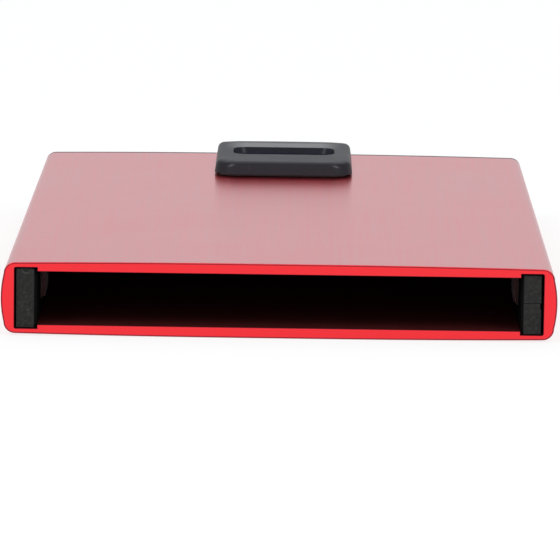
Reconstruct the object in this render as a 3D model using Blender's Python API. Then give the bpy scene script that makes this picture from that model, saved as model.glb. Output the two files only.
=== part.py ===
"""Pop-up card holder: an extruded case whose thumb slide lifts a stack of cards out of the mouth in steps.

The holder lies flat with its mouth towards -Y and its thumb slide on top, near the closed end.
Lengths are in metres. The origin is under the middle of the holder, on the surface it rests on.
"""

import math

import bmesh
import bpy
from mathutils import Vector

MM = 0.001

# Cards that the holder is made for
CARD_WIDTH = 53.98 * MM
CARD_LENGTH = 85.6 * MM
CARD_PITCH = 0.965 * MM
CARD_COUNT = 6

# Clearances
SLIDE_CLEARANCE = 0.15 * MM
SEAT_GAP = 0.08 * MM
CARD_SIDE_GAP = 0.46 * MM
CARD_MOUTH_DEPTH = 1.0 * MM
OVERRUN = 1.0 * MM

# Extruded case
CASE_WALL = 1.22 * MM
CASE_SIDE_WALL = 1.5 * MM
CASE_CORNER_RADIUS = 1.3 * MM
CASE_CROWN_FLAT = 10.0 * MM
CASE_CROWN_RISE = 0.2 * MM
CASE_SIDE_RISE = 0.32 * MM
CASE_RIM_CHAMFER = 0.12 * MM
CHANNEL_UNDERCUT = 0.42 * MM
CHANNEL_BACK_GAP = 0.15 * MM
LIP_OVERHANG = 0.1 * MM
SLOT_WIDTH = 8.0 * MM
SLOT_CORNER_RADIUS = 1.2 * MM
SLOT_END_GAP = 0.4 * MM

# Guide rails, one in each side channel
RAIL_WIDTH = 2.4 * MM
RAIL_MOUTH_SETBACK = 0.3 * MM
RAIL_LEAD_IN_WIDTH = 0.35 * MM
RAIL_LEAD_IN_LENGTH = 0.9 * MM
RAIL_STOP_REACH = 4.25 * MM
RAIL_STOP_LENGTH = 2.0 * MM
RAIL_STOP_CLEARANCE = 0.25 * MM
RAIL_WINDOW_LIP = 0.7 * MM
GROOVE_FLOOR = 0.45 * MM
GROOVE_DEPTH = 1.8 * MM
GROOVE_HEIGHT = 1.8 * MM

# Guide rods and return springs
ROD_DIAMETER = 0.7 * MM
ROD_RUNNING_GAP = 0.07 * MM
ROD_FRONT_HOLD = 1.5 * MM
ROD_CAP_HOLD = 0.45 * MM
SPRING_COIL_DIAMETER = 1.1 * MM
SPRING_WIRE_DIAMETER = 0.22 * MM
SPRING_PRESSED_LENGTH = 17.4 * MM
SPRING_TURNS = 18

# Stepped lifter that pushes the cards
STEP_RUN = 1.9 * MM
LIFTER_BACK_LENGTH = 3.6 * MM
LIFTER_STOP_GAP = 0.5 * MM
LIFTER_TAIL_GAP = 0.3 * MM
LIFTER_BEAM_LENGTH = 5.8 * MM
LIFTER_BEAM_INSET = 0.2 * MM
LIFTER_EAR_GAP = 0.12 * MM
LIFTER_CORE_WALL = 1.2 * MM
LIFTER_CORE_MIDDLE_WIDTH = 12.0 * MM
LIFTER_TRAVEL = 17.0 * MM

# Thumb slide on top of the case
STEM_LENGTH = 2.9 * MM
STEM_SETBACK = 0.9 * MM
PAD_WIDTH = 17.5 * MM
PAD_THICKNESS = 1.6 * MM
PAD_CORNER_RADIUS = 2.6 * MM
PAD_EDGE_RADIUS = 0.7 * MM
PAD_DRAFT = 0.22 * MM
PAD_FRONT_COVER = 2.0 * MM
PAD_REAR_COVER = 2.0 * MM
PAD_FALL = 0.22 * MM
PAD_FALL_LENGTH = 6.3 * MM
RECESS_WIDTH = 13.0 * MM
RECESS_LENGTH = 7.55 * MM
RECESS_DEPTH = 0.8 * MM
RECESS_SLOPE = 0.17 * MM
RECESS_CORNER_RADIUS = 1.4 * MM
RECESS_REAR_MARGIN = 8.55 * MM
GLIDE_THICKNESS = 0.2 * MM
GLIDE_MARGIN = 0.8 * MM

# Screws that join the thumb slide to the lifter
SLIDE_SCREW_SPACING = 4.8 * MM
SLIDE_SCREW_SETBACK = 1.3 * MM
SLIDE_SCREW_DIAMETER = 1.0 * MM
SLIDE_SCREW_HEAD_DIAMETER = 2.0 * MM
SLIDE_SCREW_HEAD_HEIGHT = 0.85 * MM
SLIDE_SCREW_HEAD_CHAMFER = 0.25 * MM
SLIDE_SCREW_SEAT_HEIGHT = 2.0 * MM
SLIDE_SCREW_TOP_COVER = 0.7 * MM
SCREW_CROSS_WIDTH = 0.3 * MM
SCREW_CROSS_DEPTH = 0.3 * MM
SCREW_CROSS_MARGIN = 0.45 * MM

# End cap and the screws that hold it on the rails
CAP_FLANGE = 1.0 * MM
CAP_FACE_GAP = 0.05 * MM
CAP_PLUG_DEPTH = 0.95 * MM
CAP_PLUG_SIDE_GAP = 0.45 * MM
CAP_EDGE_CHAMFER = 0.25 * MM
CAP_SCREW_DIAMETER = 1.0 * MM
CAP_SCREW_HEAD_DIAMETER = 2.2 * MM
CAP_SCREW_HEAD_HEIGHT = 0.6 * MM
CAP_SCREW_LENGTH = 5.5 * MM
CAP_SCREW_RISE = 1.15 * MM
SCREW_HOLE_GAP = 0.1 * MM

# Sprung shoes that grip the card edges just inside the mouth
SHOE_MOUTH_DISTANCE = 15.5 * MM
SHOE_FLANGE_LENGTH = 15.3 * MM
SHOE_FLANGE_HEIGHT = 4.1 * MM
SHOE_FLANGE_THICKNESS = 0.55 * MM
SHOE_NOSE_LENGTH = 12.3 * MM
SHOE_NOSE_FACE_LENGTH = 8.4 * MM
SHOE_NOSE_HEIGHT = 3.4 * MM
SHOE_NOSE_PROUD = 0.25 * MM
SHOE_WINDOW_GAP = 0.1 * MM
FELT_LENGTH = 7.8 * MM
FELT_HEIGHT = 3.0 * MM
FELT_THICKNESS = 0.3 * MM
FELT_BOND_GAP = 0.05 * MM
LEAF_THICKNESS = 0.15 * MM
LEAF_LENGTH = 13.0 * MM
LEAF_HEIGHT = 3.0 * MM
LEAF_END_GAP = 0.06 * MM

# Facets of the curved surfaces
CROWN_STEPS = 4
CORNER_STEPS = 4
SIDE_STEPS = 3
FALL_STEPS = 3
ROUND_STEPS = 4
HOLE_SIDES = 16
LEAF_STEPS = 10
COIL_POINTS = 9

# Sizes of the case that follow from the cards, the rails and the clearances
BAY_HEIGHT = CARD_COUNT * CARD_PITCH + 2 * SLIDE_CLEARANCE
CASE_THICKNESS = BAY_HEIGHT + 2 * CASE_WALL
MID_Z = CASE_THICKNESS / 2
BAY_FLOOR = MID_Z - BAY_HEIGHT / 2
BAY_CEILING = MID_Z + BAY_HEIGHT / 2
RAIL_FACE = CARD_WIDTH / 2 + CARD_SIDE_GAP
RAIL_BACK = RAIL_FACE + RAIL_WIDTH
RAIL_MID = (RAIL_FACE + RAIL_BACK) / 2
BAY_SIDE = RAIL_FACE - LIP_OVERHANG
CHANNEL_SIDE = RAIL_BACK + CHANNEL_BACK_GAP
CHANNEL_HALF_HEIGHT = BAY_HEIGHT / 2 + CHANNEL_UNDERCUT
RAIL_HALF_HEIGHT = CHANNEL_HALF_HEIGHT - SEAT_GAP
CASE_WIDTH = 2 * (CHANNEL_SIDE + CASE_SIDE_WALL)

# Places along the holder, from the mouth to the closed end
STAIR_RUN = (CARD_COUNT - 1) * STEP_RUN
CASE_LENGTH = (
    CARD_MOUTH_DEPTH + CARD_LENGTH + STAIR_RUN + LIFTER_BACK_LENGTH + LIFTER_TAIL_GAP + CAP_PLUG_DEPTH
)
HOLDER_LENGTH = CASE_LENGTH + CAP_FACE_GAP + CAP_FLANGE
MOUTH = -HOLDER_LENGTH / 2
TAIL = MOUTH + CASE_LENGTH
CARD_STOP = MOUTH + CARD_MOUTH_DEPTH + CARD_LENGTH
LIFTER_TAIL = CARD_STOP + STAIR_RUN + LIFTER_BACK_LENGTH
STEM_TAIL = LIFTER_TAIL - STEM_SETBACK
STEM_FRONT = STEM_TAIL - STEM_LENGTH
STEM_MIDDLE = (STEM_FRONT + STEM_TAIL) / 2
SLIDE_SCREW_Y = STEM_TAIL - SLIDE_SCREW_SETBACK
SLOT_FRONT = STEM_FRONT - LIFTER_TRAVEL - SLOT_END_GAP
PAD_FRONT = SLOT_FRONT - PAD_FRONT_COVER
PAD_TAIL = STEM_TAIL + PAD_REAR_COVER
SHOE_MIDDLE = MOUTH + SHOE_MOUTH_DISTANCE

# Lifter, beam and groove
LIFTER_BOTTOM = BAY_FLOOR + SLIDE_CLEARANCE
LIFTER_TOP = BAY_CEILING - SLIDE_CLEARANCE
STAIR_HALF_WIDTH = RAIL_FACE - RAIL_STOP_REACH - LIFTER_STOP_GAP
GROOVE_BOTTOM = MID_Z - RAIL_HALF_HEIGHT + GROOVE_FLOOR
GROOVE_TOP = GROOVE_BOTTOM + GROOVE_HEIGHT
GROOVE_BACK = RAIL_FACE + GROOVE_DEPTH
ROD_X = RAIL_FACE + GROOVE_DEPTH / 2
ROD_Z = (GROOVE_BOTTOM + GROOVE_TOP) / 2
BEAM_BOTTOM = GROOVE_BOTTOM + LIFTER_EAR_GAP
BEAM_TOP = GROOVE_TOP - LIFTER_EAR_GAP
BEAM_TAIL = LIFTER_TAIL - LIFTER_BEAM_INSET
BEAM_FRONT = BEAM_TAIL - LIFTER_BEAM_LENGTH
GROOVE_FRONT = BEAM_FRONT - LIFTER_TRAVEL - SPRING_PRESSED_LENGTH

# Thumb slide, measured up from the top of the case
GLIDE_BOTTOM = CASE_THICKNESS + SEAT_GAP
GLIDE_TOP = GLIDE_BOTTOM + GLIDE_THICKNESS
PAD_BOTTOM = GLIDE_TOP + SEAT_GAP
PAD_TOP = PAD_BOTTOM + PAD_THICKNESS
STEM_BOTTOM = LIFTER_TOP + SEAT_GAP
STEM_HALF_WIDTH = SLOT_WIDTH / 2 - SLIDE_CLEARANCE
SLIDE_SCREW_TIP = PAD_TOP - SLIDE_SCREW_TOP_COVER
SLIDE_SCREW_SEAT = LIFTER_BOTTOM + SLIDE_SCREW_SEAT_HEIGHT

# End cap
CAP_INNER_FACE = TAIL - CAP_PLUG_DEPTH
CAP_FLANGE_FRONT = TAIL + CAP_FACE_GAP
CAP_BACK = CAP_FLANGE_FRONT + CAP_FLANGE
CAP_SCREW_Z = MID_Z + CAP_SCREW_RISE
CAP_SCREW_TOP = CAP_BACK - SCREW_HOLE_GAP
CAP_SCREW_TIP = CAP_SCREW_TOP - CAP_SCREW_LENGTH

# Grip shoes
SHOE_FLANGE_FACE = RAIL_FACE + RAIL_WINDOW_LIP + SEAT_GAP
SHOE_FLANGE_BACK = SHOE_FLANGE_FACE + SHOE_FLANGE_THICKNESS
SHOE_NOSE_FACE = RAIL_FACE - SHOE_NOSE_PROUD
FELT_BACK = SHOE_NOSE_FACE - FELT_BOND_GAP
FELT_FACE = FELT_BACK - FELT_THICKNESS

ANODISED_RED = ("anodised_red", (0.80, 0.035, 0.055), 0.36, 1.0)
BLACK_PLASTIC = ("black_plastic", (0.028, 0.028, 0.030), 0.45, 0.0)
RAIL_PLASTIC = ("rail_plastic", (0.034, 0.035, 0.034), 0.55, 0.0)
LIFTER_PLASTIC = ("lifter_plastic", (0.045, 0.045, 0.048), 0.50, 0.0)
BLACK_STEEL = ("black_steel", (0.09, 0.09, 0.10), 0.38, 1.0)
BRIGHT_STEEL = ("bright_steel", (0.62, 0.61, 0.60), 0.25, 1.0)
GREY_FELT = ("grey_felt", (0.14, 0.13, 0.13), 0.95, 0.0)
GLIDE_FILM = ("glide_film", (0.16, 0.16, 0.17), 0.60, 0.0)


def clear_scene():
    """Removes whatever the file held before."""
    for old in list(bpy.data.objects):
        bpy.data.objects.remove(old, do_unlink=True)


def material(finish):
    """The named Principled material of a finish, made once."""
    name, colour, roughness, metallic = finish
    found = bpy.data.materials.get(name)
    if found:
        return found
    made = bpy.data.materials.new(name)
    made.use_nodes = True
    shader = made.node_tree.nodes["Principled BSDF"]
    shader.inputs["Base Color"].default_value = (*colour, 1.0)
    shader.inputs["Roughness"].default_value = roughness
    shader.inputs["Metallic"].default_value = metallic
    made.diffuse_color = (*colour, 1.0)
    return made


def rounded_rectangle(centre, width, length, radius, steps=ROUND_STEPS):
    """Points of a rounded rectangle, width along the first axis and length along the second."""
    radius = min(radius, width / 2, length / 2)
    corners = ((1, 1, 0), (-1, 1, 90), (-1, -1, 180), (1, -1, 270))
    points = []
    for side_u, side_v, start in corners:
        corner_u = centre[0] + side_u * (width / 2 - radius)
        corner_v = centre[1] + side_v * (length / 2 - radius)
        for step in range(steps + 1):
            angle = math.radians(start + 90 * step / steps)
            points.append((corner_u + radius * math.cos(angle), corner_v + radius * math.sin(angle)))
    return points


def loft(loops):
    """A closed form through loops of points that match one another, capped at both ends."""
    form = bmesh.new()
    rings = [[form.verts.new(point) for point in loop] for loop in loops]
    for near, far in zip(rings, rings[1:]):
        for index, corner in enumerate(near):
            after = (index + 1) % len(near)
            form.faces.new((corner, near[after], far[after], far[index]))
    form.faces.new(rings[0])
    form.faces.new(rings[-1])
    bmesh.ops.recalc_face_normals(form, faces=form.faces)
    return form


def prism_x(outline, start, end):
    """An outline in Y and Z, extruded along X."""
    return loft([[(x, y, z) for y, z in outline] for x in (start, end)])


def prism_y(outline, start, end):
    """An outline in X and Z, extruded along Y."""
    return loft([[(x, y, z) for x, z in outline] for y in (start, end)])


def prism_z(outline, start, end):
    """An outline in X and Y, extruded along Z."""
    return loft([[(x, y, z) for x, y in outline] for z in (start, end)])


def block(x_range, y_range, z_range):
    """A rectangular block between two values on each axis."""
    (x0, x1), (y0, y1) = x_range, y_range
    return prism_z([(x0, y0), (x1, y0), (x1, y1), (x0, y1)], *z_range)


def circle(centre, radius, sides=HOLE_SIDES):
    """Points of a circle about a centre in the two axes of its plane."""
    turns = (2 * math.pi * step / sides for step in range(sides))
    return [(centre[0] + radius * math.cos(turn), centre[1] + radius * math.sin(turn)) for turn in turns]


def turned_y(centre, stations):
    """A turned form on an axis along Y through centre, given as pairs of place and radius."""
    return loft([[(x, y, z) for x, z in circle(centre, radius)] for y, radius in stations])


def turned_z(centre, stations):
    """A turned form on an axis along Z through centre, given as pairs of height and radius."""
    return loft([[(x, y, z) for x, y in circle(centre, radius)] for z, radius in stations])


def add_object(name, form, origin, finish, parent):
    """Links a form as an object whose own origin is a point of the holder's frame."""
    bmesh.ops.translate(form, verts=form.verts, vec=-Vector(origin))
    mesh = bpy.data.meshes.new(name)
    form.to_mesh(mesh)
    form.free()
    mesh.shade_smooth()
    mesh.set_sharp_from_angle(angle=math.radians(35))
    piece = bpy.data.objects.new(name, mesh)
    bpy.context.scene.collection.objects.link(piece)
    piece.parent = parent
    piece.location = Vector(origin) - parent.location
    if finish:
        mesh.materials.append(material(finish))
    return piece


def combine(piece, name, form, operation):
    """Cuts a form from a piece, or joins it on, with a hidden helper that is the piece's child."""
    origin = piece.location + piece.parent.location
    helper = add_object(f"{piece.name}_{name}", form, origin, None, piece.parent)
    helper.parent = piece
    helper.location = Vector()
    helper.hide_render = True
    helper.display_type = "WIRE"
    change = piece.modifiers.new(name, "BOOLEAN")
    change.object = helper
    change.operation = operation
    change.solver = "EXACT"


def cut(piece, name, form):
    """Cuts a form out of a piece."""
    combine(piece, name, form, "DIFFERENCE")


def join(piece, name, form):
    """Joins a form on to a piece."""
    combine(piece, name, form, "UNION")


def anchor(name, place, parent=None):
    """An empty that carries the pieces of one moving group."""
    empty = bpy.data.objects.new(name, None)
    bpy.context.scene.collection.objects.link(empty)
    empty.parent = parent
    empty.location = place
    return empty


def case_section(inset):
    """Outline of the case in X and Z: crowned faces, round corners and bulging sides, drawn in by inset."""
    half_width = CASE_WIDTH / 2 - inset
    half_height = CASE_THICKNESS / 2 - inset
    radius = CASE_CORNER_RADIUS - inset
    corner_x = half_width - CASE_SIDE_RISE - radius
    corner_z = half_height - CASE_CROWN_RISE - radius
    flat = CASE_CROWN_FLAT / 2
    quarter = []
    for step in range(CROWN_STEPS + 1):
        share = step / CROWN_STEPS
        quarter.append((flat + share * (corner_x - flat), half_height - CASE_CROWN_RISE * share**2))
    for step in range(1, CORNER_STEPS + 1):
        angle = math.radians(90 * (1 - step / CORNER_STEPS))
        quarter.append((corner_x + radius * math.cos(angle), corner_z + radius * math.sin(angle)))
    for step in range(1, SIDE_STEPS + 1):
        share = 1 - step / SIDE_STEPS
        quarter.append((half_width - CASE_SIDE_RISE * share**2, share * corner_z))
    half = quarter + [(x, -z) for x, z in reversed(quarter[:-1])]
    whole = half + [(-x, z) for x, z in reversed(half)]
    return [(x, MID_Z + z) for x, z in whole]


def case_slab(stations):
    """The case's outline lofted along Y, given as pairs of place and inset."""
    return loft([[(x, y, z) for x, z in case_section(inset)] for y, inset in stations])


def add_case_shell(holder):
    """The anodised tube: card bay, side channels and the slot that the slide's stem runs in."""
    stations = (
        (MOUTH, CASE_RIM_CHAMFER),
        (MOUTH + CASE_RIM_CHAMFER, 0),
        (TAIL - CASE_RIM_CHAMFER, 0),
        (TAIL, CASE_RIM_CHAMFER),
    )
    shell = add_object("case_shell", case_slab(stations), (0, MOUTH, MID_Z), ANODISED_RED, holder)
    bay, channel, undercut = BAY_SIDE, CHANNEL_SIDE, CHANNEL_HALF_HEIGHT
    corner = [(bay, BAY_HEIGHT / 2), (bay, undercut), (channel, undercut)]
    right = corner + [(x, -z) for x, z in reversed(corner)]
    bore = right + [(-x, z) for x, z in reversed(right)]
    bore = [(x, MID_Z + z) for x, z in bore]
    cut(shell, "bay_and_channels", prism_y(bore, MOUTH - OVERRUN, TAIL + OVERRUN))
    slot_tail = TAIL + OVERRUN + SLOT_CORNER_RADIUS
    slot = rounded_rectangle(
        (0, (SLOT_FRONT + slot_tail) / 2), SLOT_WIDTH, slot_tail - SLOT_FRONT, SLOT_CORNER_RADIUS
    )
    cut(shell, "stem_slot", prism_z(slot, MID_Z, CASE_THICKNESS + OVERRUN))


def add_guide_rail(holder, label, side):
    """A black rail that fills a side channel: card edge guide, card stop, shoe window and spring groove."""
    front = MOUTH + RAIL_MOUTH_SETBACK
    tail = TAIL - SEAT_GAP
    bar = [
        (RAIL_FACE + RAIL_LEAD_IN_WIDTH, front),
        (RAIL_BACK, front),
        (RAIL_BACK, tail),
        (RAIL_FACE, tail),
        (RAIL_FACE, front + RAIL_LEAD_IN_LENGTH),
    ]
    height = (MID_Z - RAIL_HALF_HEIGHT, MID_Z + RAIL_HALF_HEIGHT)
    form = prism_z([(side * x, y) for x, y in bar], *height)
    rail = add_object(f"{label}_guide_rail", form, (side * RAIL_MID, front, MID_Z), RAIL_PLASTIC, holder)
    stop = block(
        (side * (RAIL_FACE - RAIL_STOP_REACH), side * (RAIL_FACE + RAIL_WINDOW_LIP)),
        (CARD_STOP, CARD_STOP + RAIL_STOP_LENGTH),
        (BEAM_TOP + RAIL_STOP_CLEARANCE, LIFTER_TOP),
    )
    join(rail, "card_stop", stop)
    groove = block(
        (side * (RAIL_FACE - OVERRUN), side * GROOVE_BACK),
        (GROOVE_FRONT, TAIL + OVERRUN),
        (GROOVE_BOTTOM, GROOVE_TOP),
    )
    cut(rail, "spring_groove", groove)
    rod_radius = ROD_DIAMETER / 2 + ROD_RUNNING_GAP
    rod_hole = (
        (GROOVE_FRONT - ROD_FRONT_HOLD - SEAT_GAP, rod_radius),
        (GROOVE_FRONT + OVERRUN, rod_radius),
    )
    cut(rail, "rod_hole", turned_y((side * ROD_X, ROD_Z), rod_hole))
    window_half = SHOE_NOSE_LENGTH / 2 + SHOE_WINDOW_GAP
    window_rise = SHOE_NOSE_HEIGHT / 2 + SHOE_WINDOW_GAP
    window = block(
        (side * (RAIL_FACE - OVERRUN), side * RAIL_MID),
        (SHOE_MIDDLE - window_half, SHOE_MIDDLE + window_half),
        (MID_Z - window_rise, MID_Z + window_rise),
    )
    cut(rail, "shoe_window", window)
    pocket_half = SHOE_FLANGE_LENGTH / 2 + SHOE_WINDOW_GAP
    pocket_rise = SHOE_FLANGE_HEIGHT / 2 + SHOE_WINDOW_GAP
    pocket = block(
        (side * (RAIL_FACE + RAIL_WINDOW_LIP), side * (RAIL_BACK + OVERRUN)),
        (SHOE_MIDDLE - pocket_half, SHOE_MIDDLE + pocket_half),
        (MID_Z - pocket_rise, MID_Z + pocket_rise),
    )
    cut(rail, "shoe_pocket", pocket)
    pilot = CAP_SCREW_DIAMETER / 2 + SCREW_HOLE_GAP
    pilot_hole = ((CAP_SCREW_TIP - SCREW_HOLE_GAP, pilot), (TAIL + OVERRUN, pilot))
    cut(rail, "screw_pilot", turned_y((side * RAIL_MID, CAP_SCREW_Z), pilot_hole))


def add_guide_rod(holder, label, side):
    """A thin steel rod along the groove, which carries the lifter's ear and the return spring."""
    stations = (
        (GROOVE_FRONT - ROD_FRONT_HOLD, ROD_DIAMETER / 2),
        (CAP_FLANGE_FRONT + ROD_CAP_HOLD, ROD_DIAMETER / 2),
    )
    form = turned_y((side * ROD_X, ROD_Z), stations)
    add_object(f"{label}_guide_rod", form, (side * ROD_X, GROOVE_FRONT, ROD_Z), BRIGHT_STEEL, holder)


def spring_points(length):
    """Points of the coiled wire about the Y axis, a fixed number for each turn."""
    radius = SPRING_COIL_DIAMETER / 2
    count = SPRING_TURNS * COIL_POINTS
    points = []
    for step in range(count + 1):
        turn = 2 * math.pi * step / COIL_POINTS
        points.append(Vector((radius * math.cos(turn), length * step / count, radius * math.sin(turn))))
    return points


def least_gap(points):
    """The least clear distance between neighbouring turns of the wire, measured on its points."""
    pairs = zip(points, points[COIL_POINTS:])
    return min((near - far).length for near, far in pairs) - SPRING_WIRE_DIAMETER


def add_return_spring(holder, label, side):
    """A compression spring on the guide rod, between the groove's front wall and the lifter's ear."""
    end_gap = SEAT_GAP + SPRING_WIRE_DIAMETER / 2
    length = BEAM_FRONT - GROOVE_FRONT - 2 * end_gap
    points = spring_points(length)
    curve = bpy.data.curves.new(f"{label}_return_spring", "CURVE")
    curve.dimensions = "3D"
    curve.bevel_depth = SPRING_WIRE_DIAMETER / 2
    curve.bevel_resolution = 1
    curve.use_fill_caps = True
    wire = curve.splines.new("POLY")
    wire.points.add(len(points) - 1)
    for point, place in zip(wire.points, points):
        point.co = (*place, 1)
    curve.materials.append(material(BRIGHT_STEEL))
    spring = bpy.data.objects.new(f"{label}_return_spring", curve)
    bpy.context.scene.collection.objects.link(spring)
    spring.parent = holder
    spring.location = (side * ROD_X, GROOVE_FRONT + end_gap, ROD_Z)
    print(f"{label} return spring: least gap between turns {least_gap(points) / MM:.2f} mm")


def add_end_cap(holder):
    """The black cap that closes the tube behind the lifter and backs the rails and rods."""
    stations = (
        (CAP_FLANGE_FRONT, 0),
        (CAP_BACK - CAP_EDGE_CHAMFER, 0),
        (CAP_BACK, CAP_EDGE_CHAMFER),
    )
    cap = add_object("end_cap", case_slab(stations), (0, TAIL, MID_Z), BLACK_PLASTIC, holder)
    middle = CAP_FLANGE_FRONT + CAP_FLANGE / 2
    plug_side = RAIL_FACE - CAP_PLUG_SIDE_GAP
    plug = block((-plug_side, plug_side), (CAP_INNER_FACE, middle), (LIFTER_BOTTOM, LIFTER_TOP))
    join(cap, "plug", plug)
    tongue = block(
        (-STEM_HALF_WIDTH, STEM_HALF_WIDTH),
        (STEM_TAIL + SLIDE_CLEARANCE, middle),
        (BAY_CEILING, CASE_THICKNESS - SLIDE_CLEARANCE),
    )
    join(cap, "slot_tongue", tongue)
    rod_radius = ROD_DIAMETER / 2 + ROD_RUNNING_GAP
    rod_end = CAP_FLANGE_FRONT + ROD_CAP_HOLD + SEAT_GAP
    head_top = CAP_SCREW_HEAD_DIAMETER / 2 + SCREW_HOLE_GAP
    shank = CAP_SCREW_DIAMETER / 2 + SCREW_HOLE_GAP
    head_bottom = CAP_BACK - CAP_SCREW_HEAD_HEIGHT - SCREW_HOLE_GAP
    countersink = (
        (CAP_FLANGE_FRONT - OVERRUN, shank),
        (head_bottom, shank),
        (CAP_BACK - SCREW_HOLE_GAP, head_top),
        (CAP_BACK + OVERRUN, head_top),
    )
    for label, side in (("left", -1), ("right", 1)):
        socket = ((CAP_FLANGE_FRONT - OVERRUN, rod_radius), (rod_end, rod_radius))
        cut(cap, f"{label}_rod_socket", turned_y((side * ROD_X, ROD_Z), socket))
        cut(cap, f"{label}_countersink", turned_y((side * RAIL_MID, CAP_SCREW_Z), countersink))


def cut_cross(screw, centre, half_span, place):
    """Cuts a cross recess in a screw's head. place turns two spans and a depth range into a block."""
    arm = SCREW_CROSS_WIDTH / 2
    for name, spans in (("cross_long", (half_span, arm)), ("cross_wide", (arm, half_span))):
        cut(screw, name, place(centre, *spans))


def add_cap_screw(holder, label, side):
    """A countersunk screw through the cap into the end of a rail."""
    radius = CAP_SCREW_DIAMETER / 2
    head = CAP_SCREW_HEAD_DIAMETER / 2
    top = CAP_SCREW_TOP
    centre = (side * RAIL_MID, CAP_SCREW_Z)
    stations = (
        (CAP_SCREW_TIP, radius / 2),
        (CAP_SCREW_TIP + radius, radius),
        (top - CAP_SCREW_HEAD_HEIGHT, radius),
        (top, head),
    )
    screw = add_object(
        f"{label}_cap_screw", turned_y(centre, stations), (centre[0], top, centre[1]), BLACK_STEEL, holder
    )

    def arm(middle, half_x, half_z):
        x, z = middle
        depth = (top - SCREW_CROSS_DEPTH, top + OVERRUN)
        return block((x - half_x, x + half_x), depth, (z - half_z, z + half_z))

    cut_cross(screw, centre, head - SCREW_CROSS_MARGIN, arm)


def stair_outline():
    """Outline of the lifter's stair in Y and Z. The lowest step leads, so the lowest card rises most."""
    points = [(LIFTER_TAIL, LIFTER_BOTTOM)]
    for step in range(CARD_COUNT):
        face = CARD_STOP + step * STEP_RUN
        points.append((face, LIFTER_BOTTOM + step * CARD_PITCH))
        points.append((face, LIFTER_BOTTOM + (step + 1) * CARD_PITCH))
    points.append((LIFTER_TAIL, LIFTER_TOP))
    return points


def add_card_lifter(slide):
    """The stepped block behind the cards, with a low beam whose ears run on the guide rods."""
    form = prism_x(stair_outline(), -STAIR_HALF_WIDTH, STAIR_HALF_WIDTH)
    lifter = add_object("card_lifter", form, (0, LIFTER_TAIL, LIFTER_BOTTOM), LIFTER_PLASTIC, slide)
    reach = GROOVE_BACK - LIFTER_EAR_GAP
    beam = block((-reach, reach), (BEAM_FRONT, BEAM_TAIL), (BEAM_BOTTOM, BEAM_TOP))
    join(lifter, "beam", beam)
    hole = ROD_DIAMETER / 2 + ROD_RUNNING_GAP
    core_middle = LIFTER_CORE_MIDDLE_WIDTH / 2
    core_width = (STAIR_HALF_WIDTH - core_middle - 2 * LIFTER_CORE_WALL) / 2
    core_top = LIFTER_BOTTOM + (CARD_COUNT - 1) * CARD_PITCH - LIFTER_CORE_WALL
    core_front = CARD_STOP + (CARD_COUNT - 2) * STEP_RUN + LIFTER_CORE_WALL
    for label, side in (("left", -1), ("right", 1)):
        bore = ((BEAM_FRONT - OVERRUN, hole), (BEAM_TAIL + OVERRUN, hole))
        cut(lifter, f"{label}_rod_bore", turned_y((side * ROD_X, ROD_Z), bore))
        for number in range(2):
            inner = core_middle + number * (core_width + LIFTER_CORE_WALL)
            core = block(
                (side * inner, side * (inner + core_width)),
                (core_front, LIFTER_TAIL + OVERRUN),
                (LIFTER_BOTTOM + LIFTER_CORE_WALL, core_top),
            )
            cut(lifter, f"{label}_core_{number + 1}", core)
        shank = SLIDE_SCREW_DIAMETER / 2 + SCREW_HOLE_GAP
        head = SLIDE_SCREW_HEAD_DIAMETER / 2 + SCREW_HOLE_GAP
        counterbore = (
            (LIFTER_BOTTOM - OVERRUN, head),
            (SLIDE_SCREW_SEAT, head),
            (SLIDE_SCREW_SEAT, shank),
            (LIFTER_TOP + OVERRUN, shank),
        )
        centre = (side * SLIDE_SCREW_SPACING / 2, SLIDE_SCREW_Y)
        cut(lifter, f"{label}_screw_hole", turned_z(centre, counterbore))


def pad_outline(inset):
    """Outline of the thumb pad in X and Y, drawn in by inset."""
    return rounded_rectangle(
        (0, (PAD_FRONT + PAD_TAIL) / 2),
        PAD_WIDTH - 2 * inset,
        PAD_TAIL - PAD_FRONT - 2 * inset,
        PAD_CORNER_RADIUS - inset,
    )


def pad_body():
    """The pad's block with a slight draft and a rounded top edge."""
    stations = [(PAD_BOTTOM, 0)]
    for step in range(ROUND_STEPS):
        angle = math.radians(90 * step / (ROUND_STEPS - 1))
        height = PAD_TOP - PAD_EDGE_RADIUS * (1 - math.sin(angle))
        stations.append((height, PAD_DRAFT + PAD_EDGE_RADIUS * (1 - math.cos(angle))))
    return loft([[(x, y, z) for x, y in pad_outline(inset)] for z, inset in stations])


def recess_form():
    """The thumb recess: a flat floor with sloping walls."""
    middle = PAD_TAIL - RECESS_REAR_MARGIN - RECESS_LENGTH / 2
    stations = (
        (PAD_TOP - RECESS_DEPTH, RECESS_SLOPE),
        (PAD_TOP, 0),
        (PAD_TOP + OVERRUN, 0),
    )
    loops = []
    for height, inset in stations:
        outline = rounded_rectangle(
            (0, middle), RECESS_WIDTH - 2 * inset, RECESS_LENGTH - 2 * inset, RECESS_CORNER_RADIUS - inset
        )
        loops.append([(x, y, height) for x, y in outline])
    return loft(loops)


def rear_fall():
    """What is taken off the pad's top where it falls away towards the closed end."""
    start = PAD_TAIL - PAD_FALL_LENGTH
    profile = [(start, PAD_TOP + OVERRUN), (start, PAD_TOP)]
    for step in range(1, FALL_STEPS + 1):
        share = step / FALL_STEPS
        profile.append((start + share * PAD_FALL_LENGTH, PAD_TOP - PAD_FALL * share**2))
    last_y, last_z = profile[-1]
    profile.append((last_y + OVERRUN, last_z))
    profile.append((last_y + OVERRUN, PAD_TOP + OVERRUN))
    return prism_x(profile, -PAD_WIDTH, PAD_WIDTH)


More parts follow.
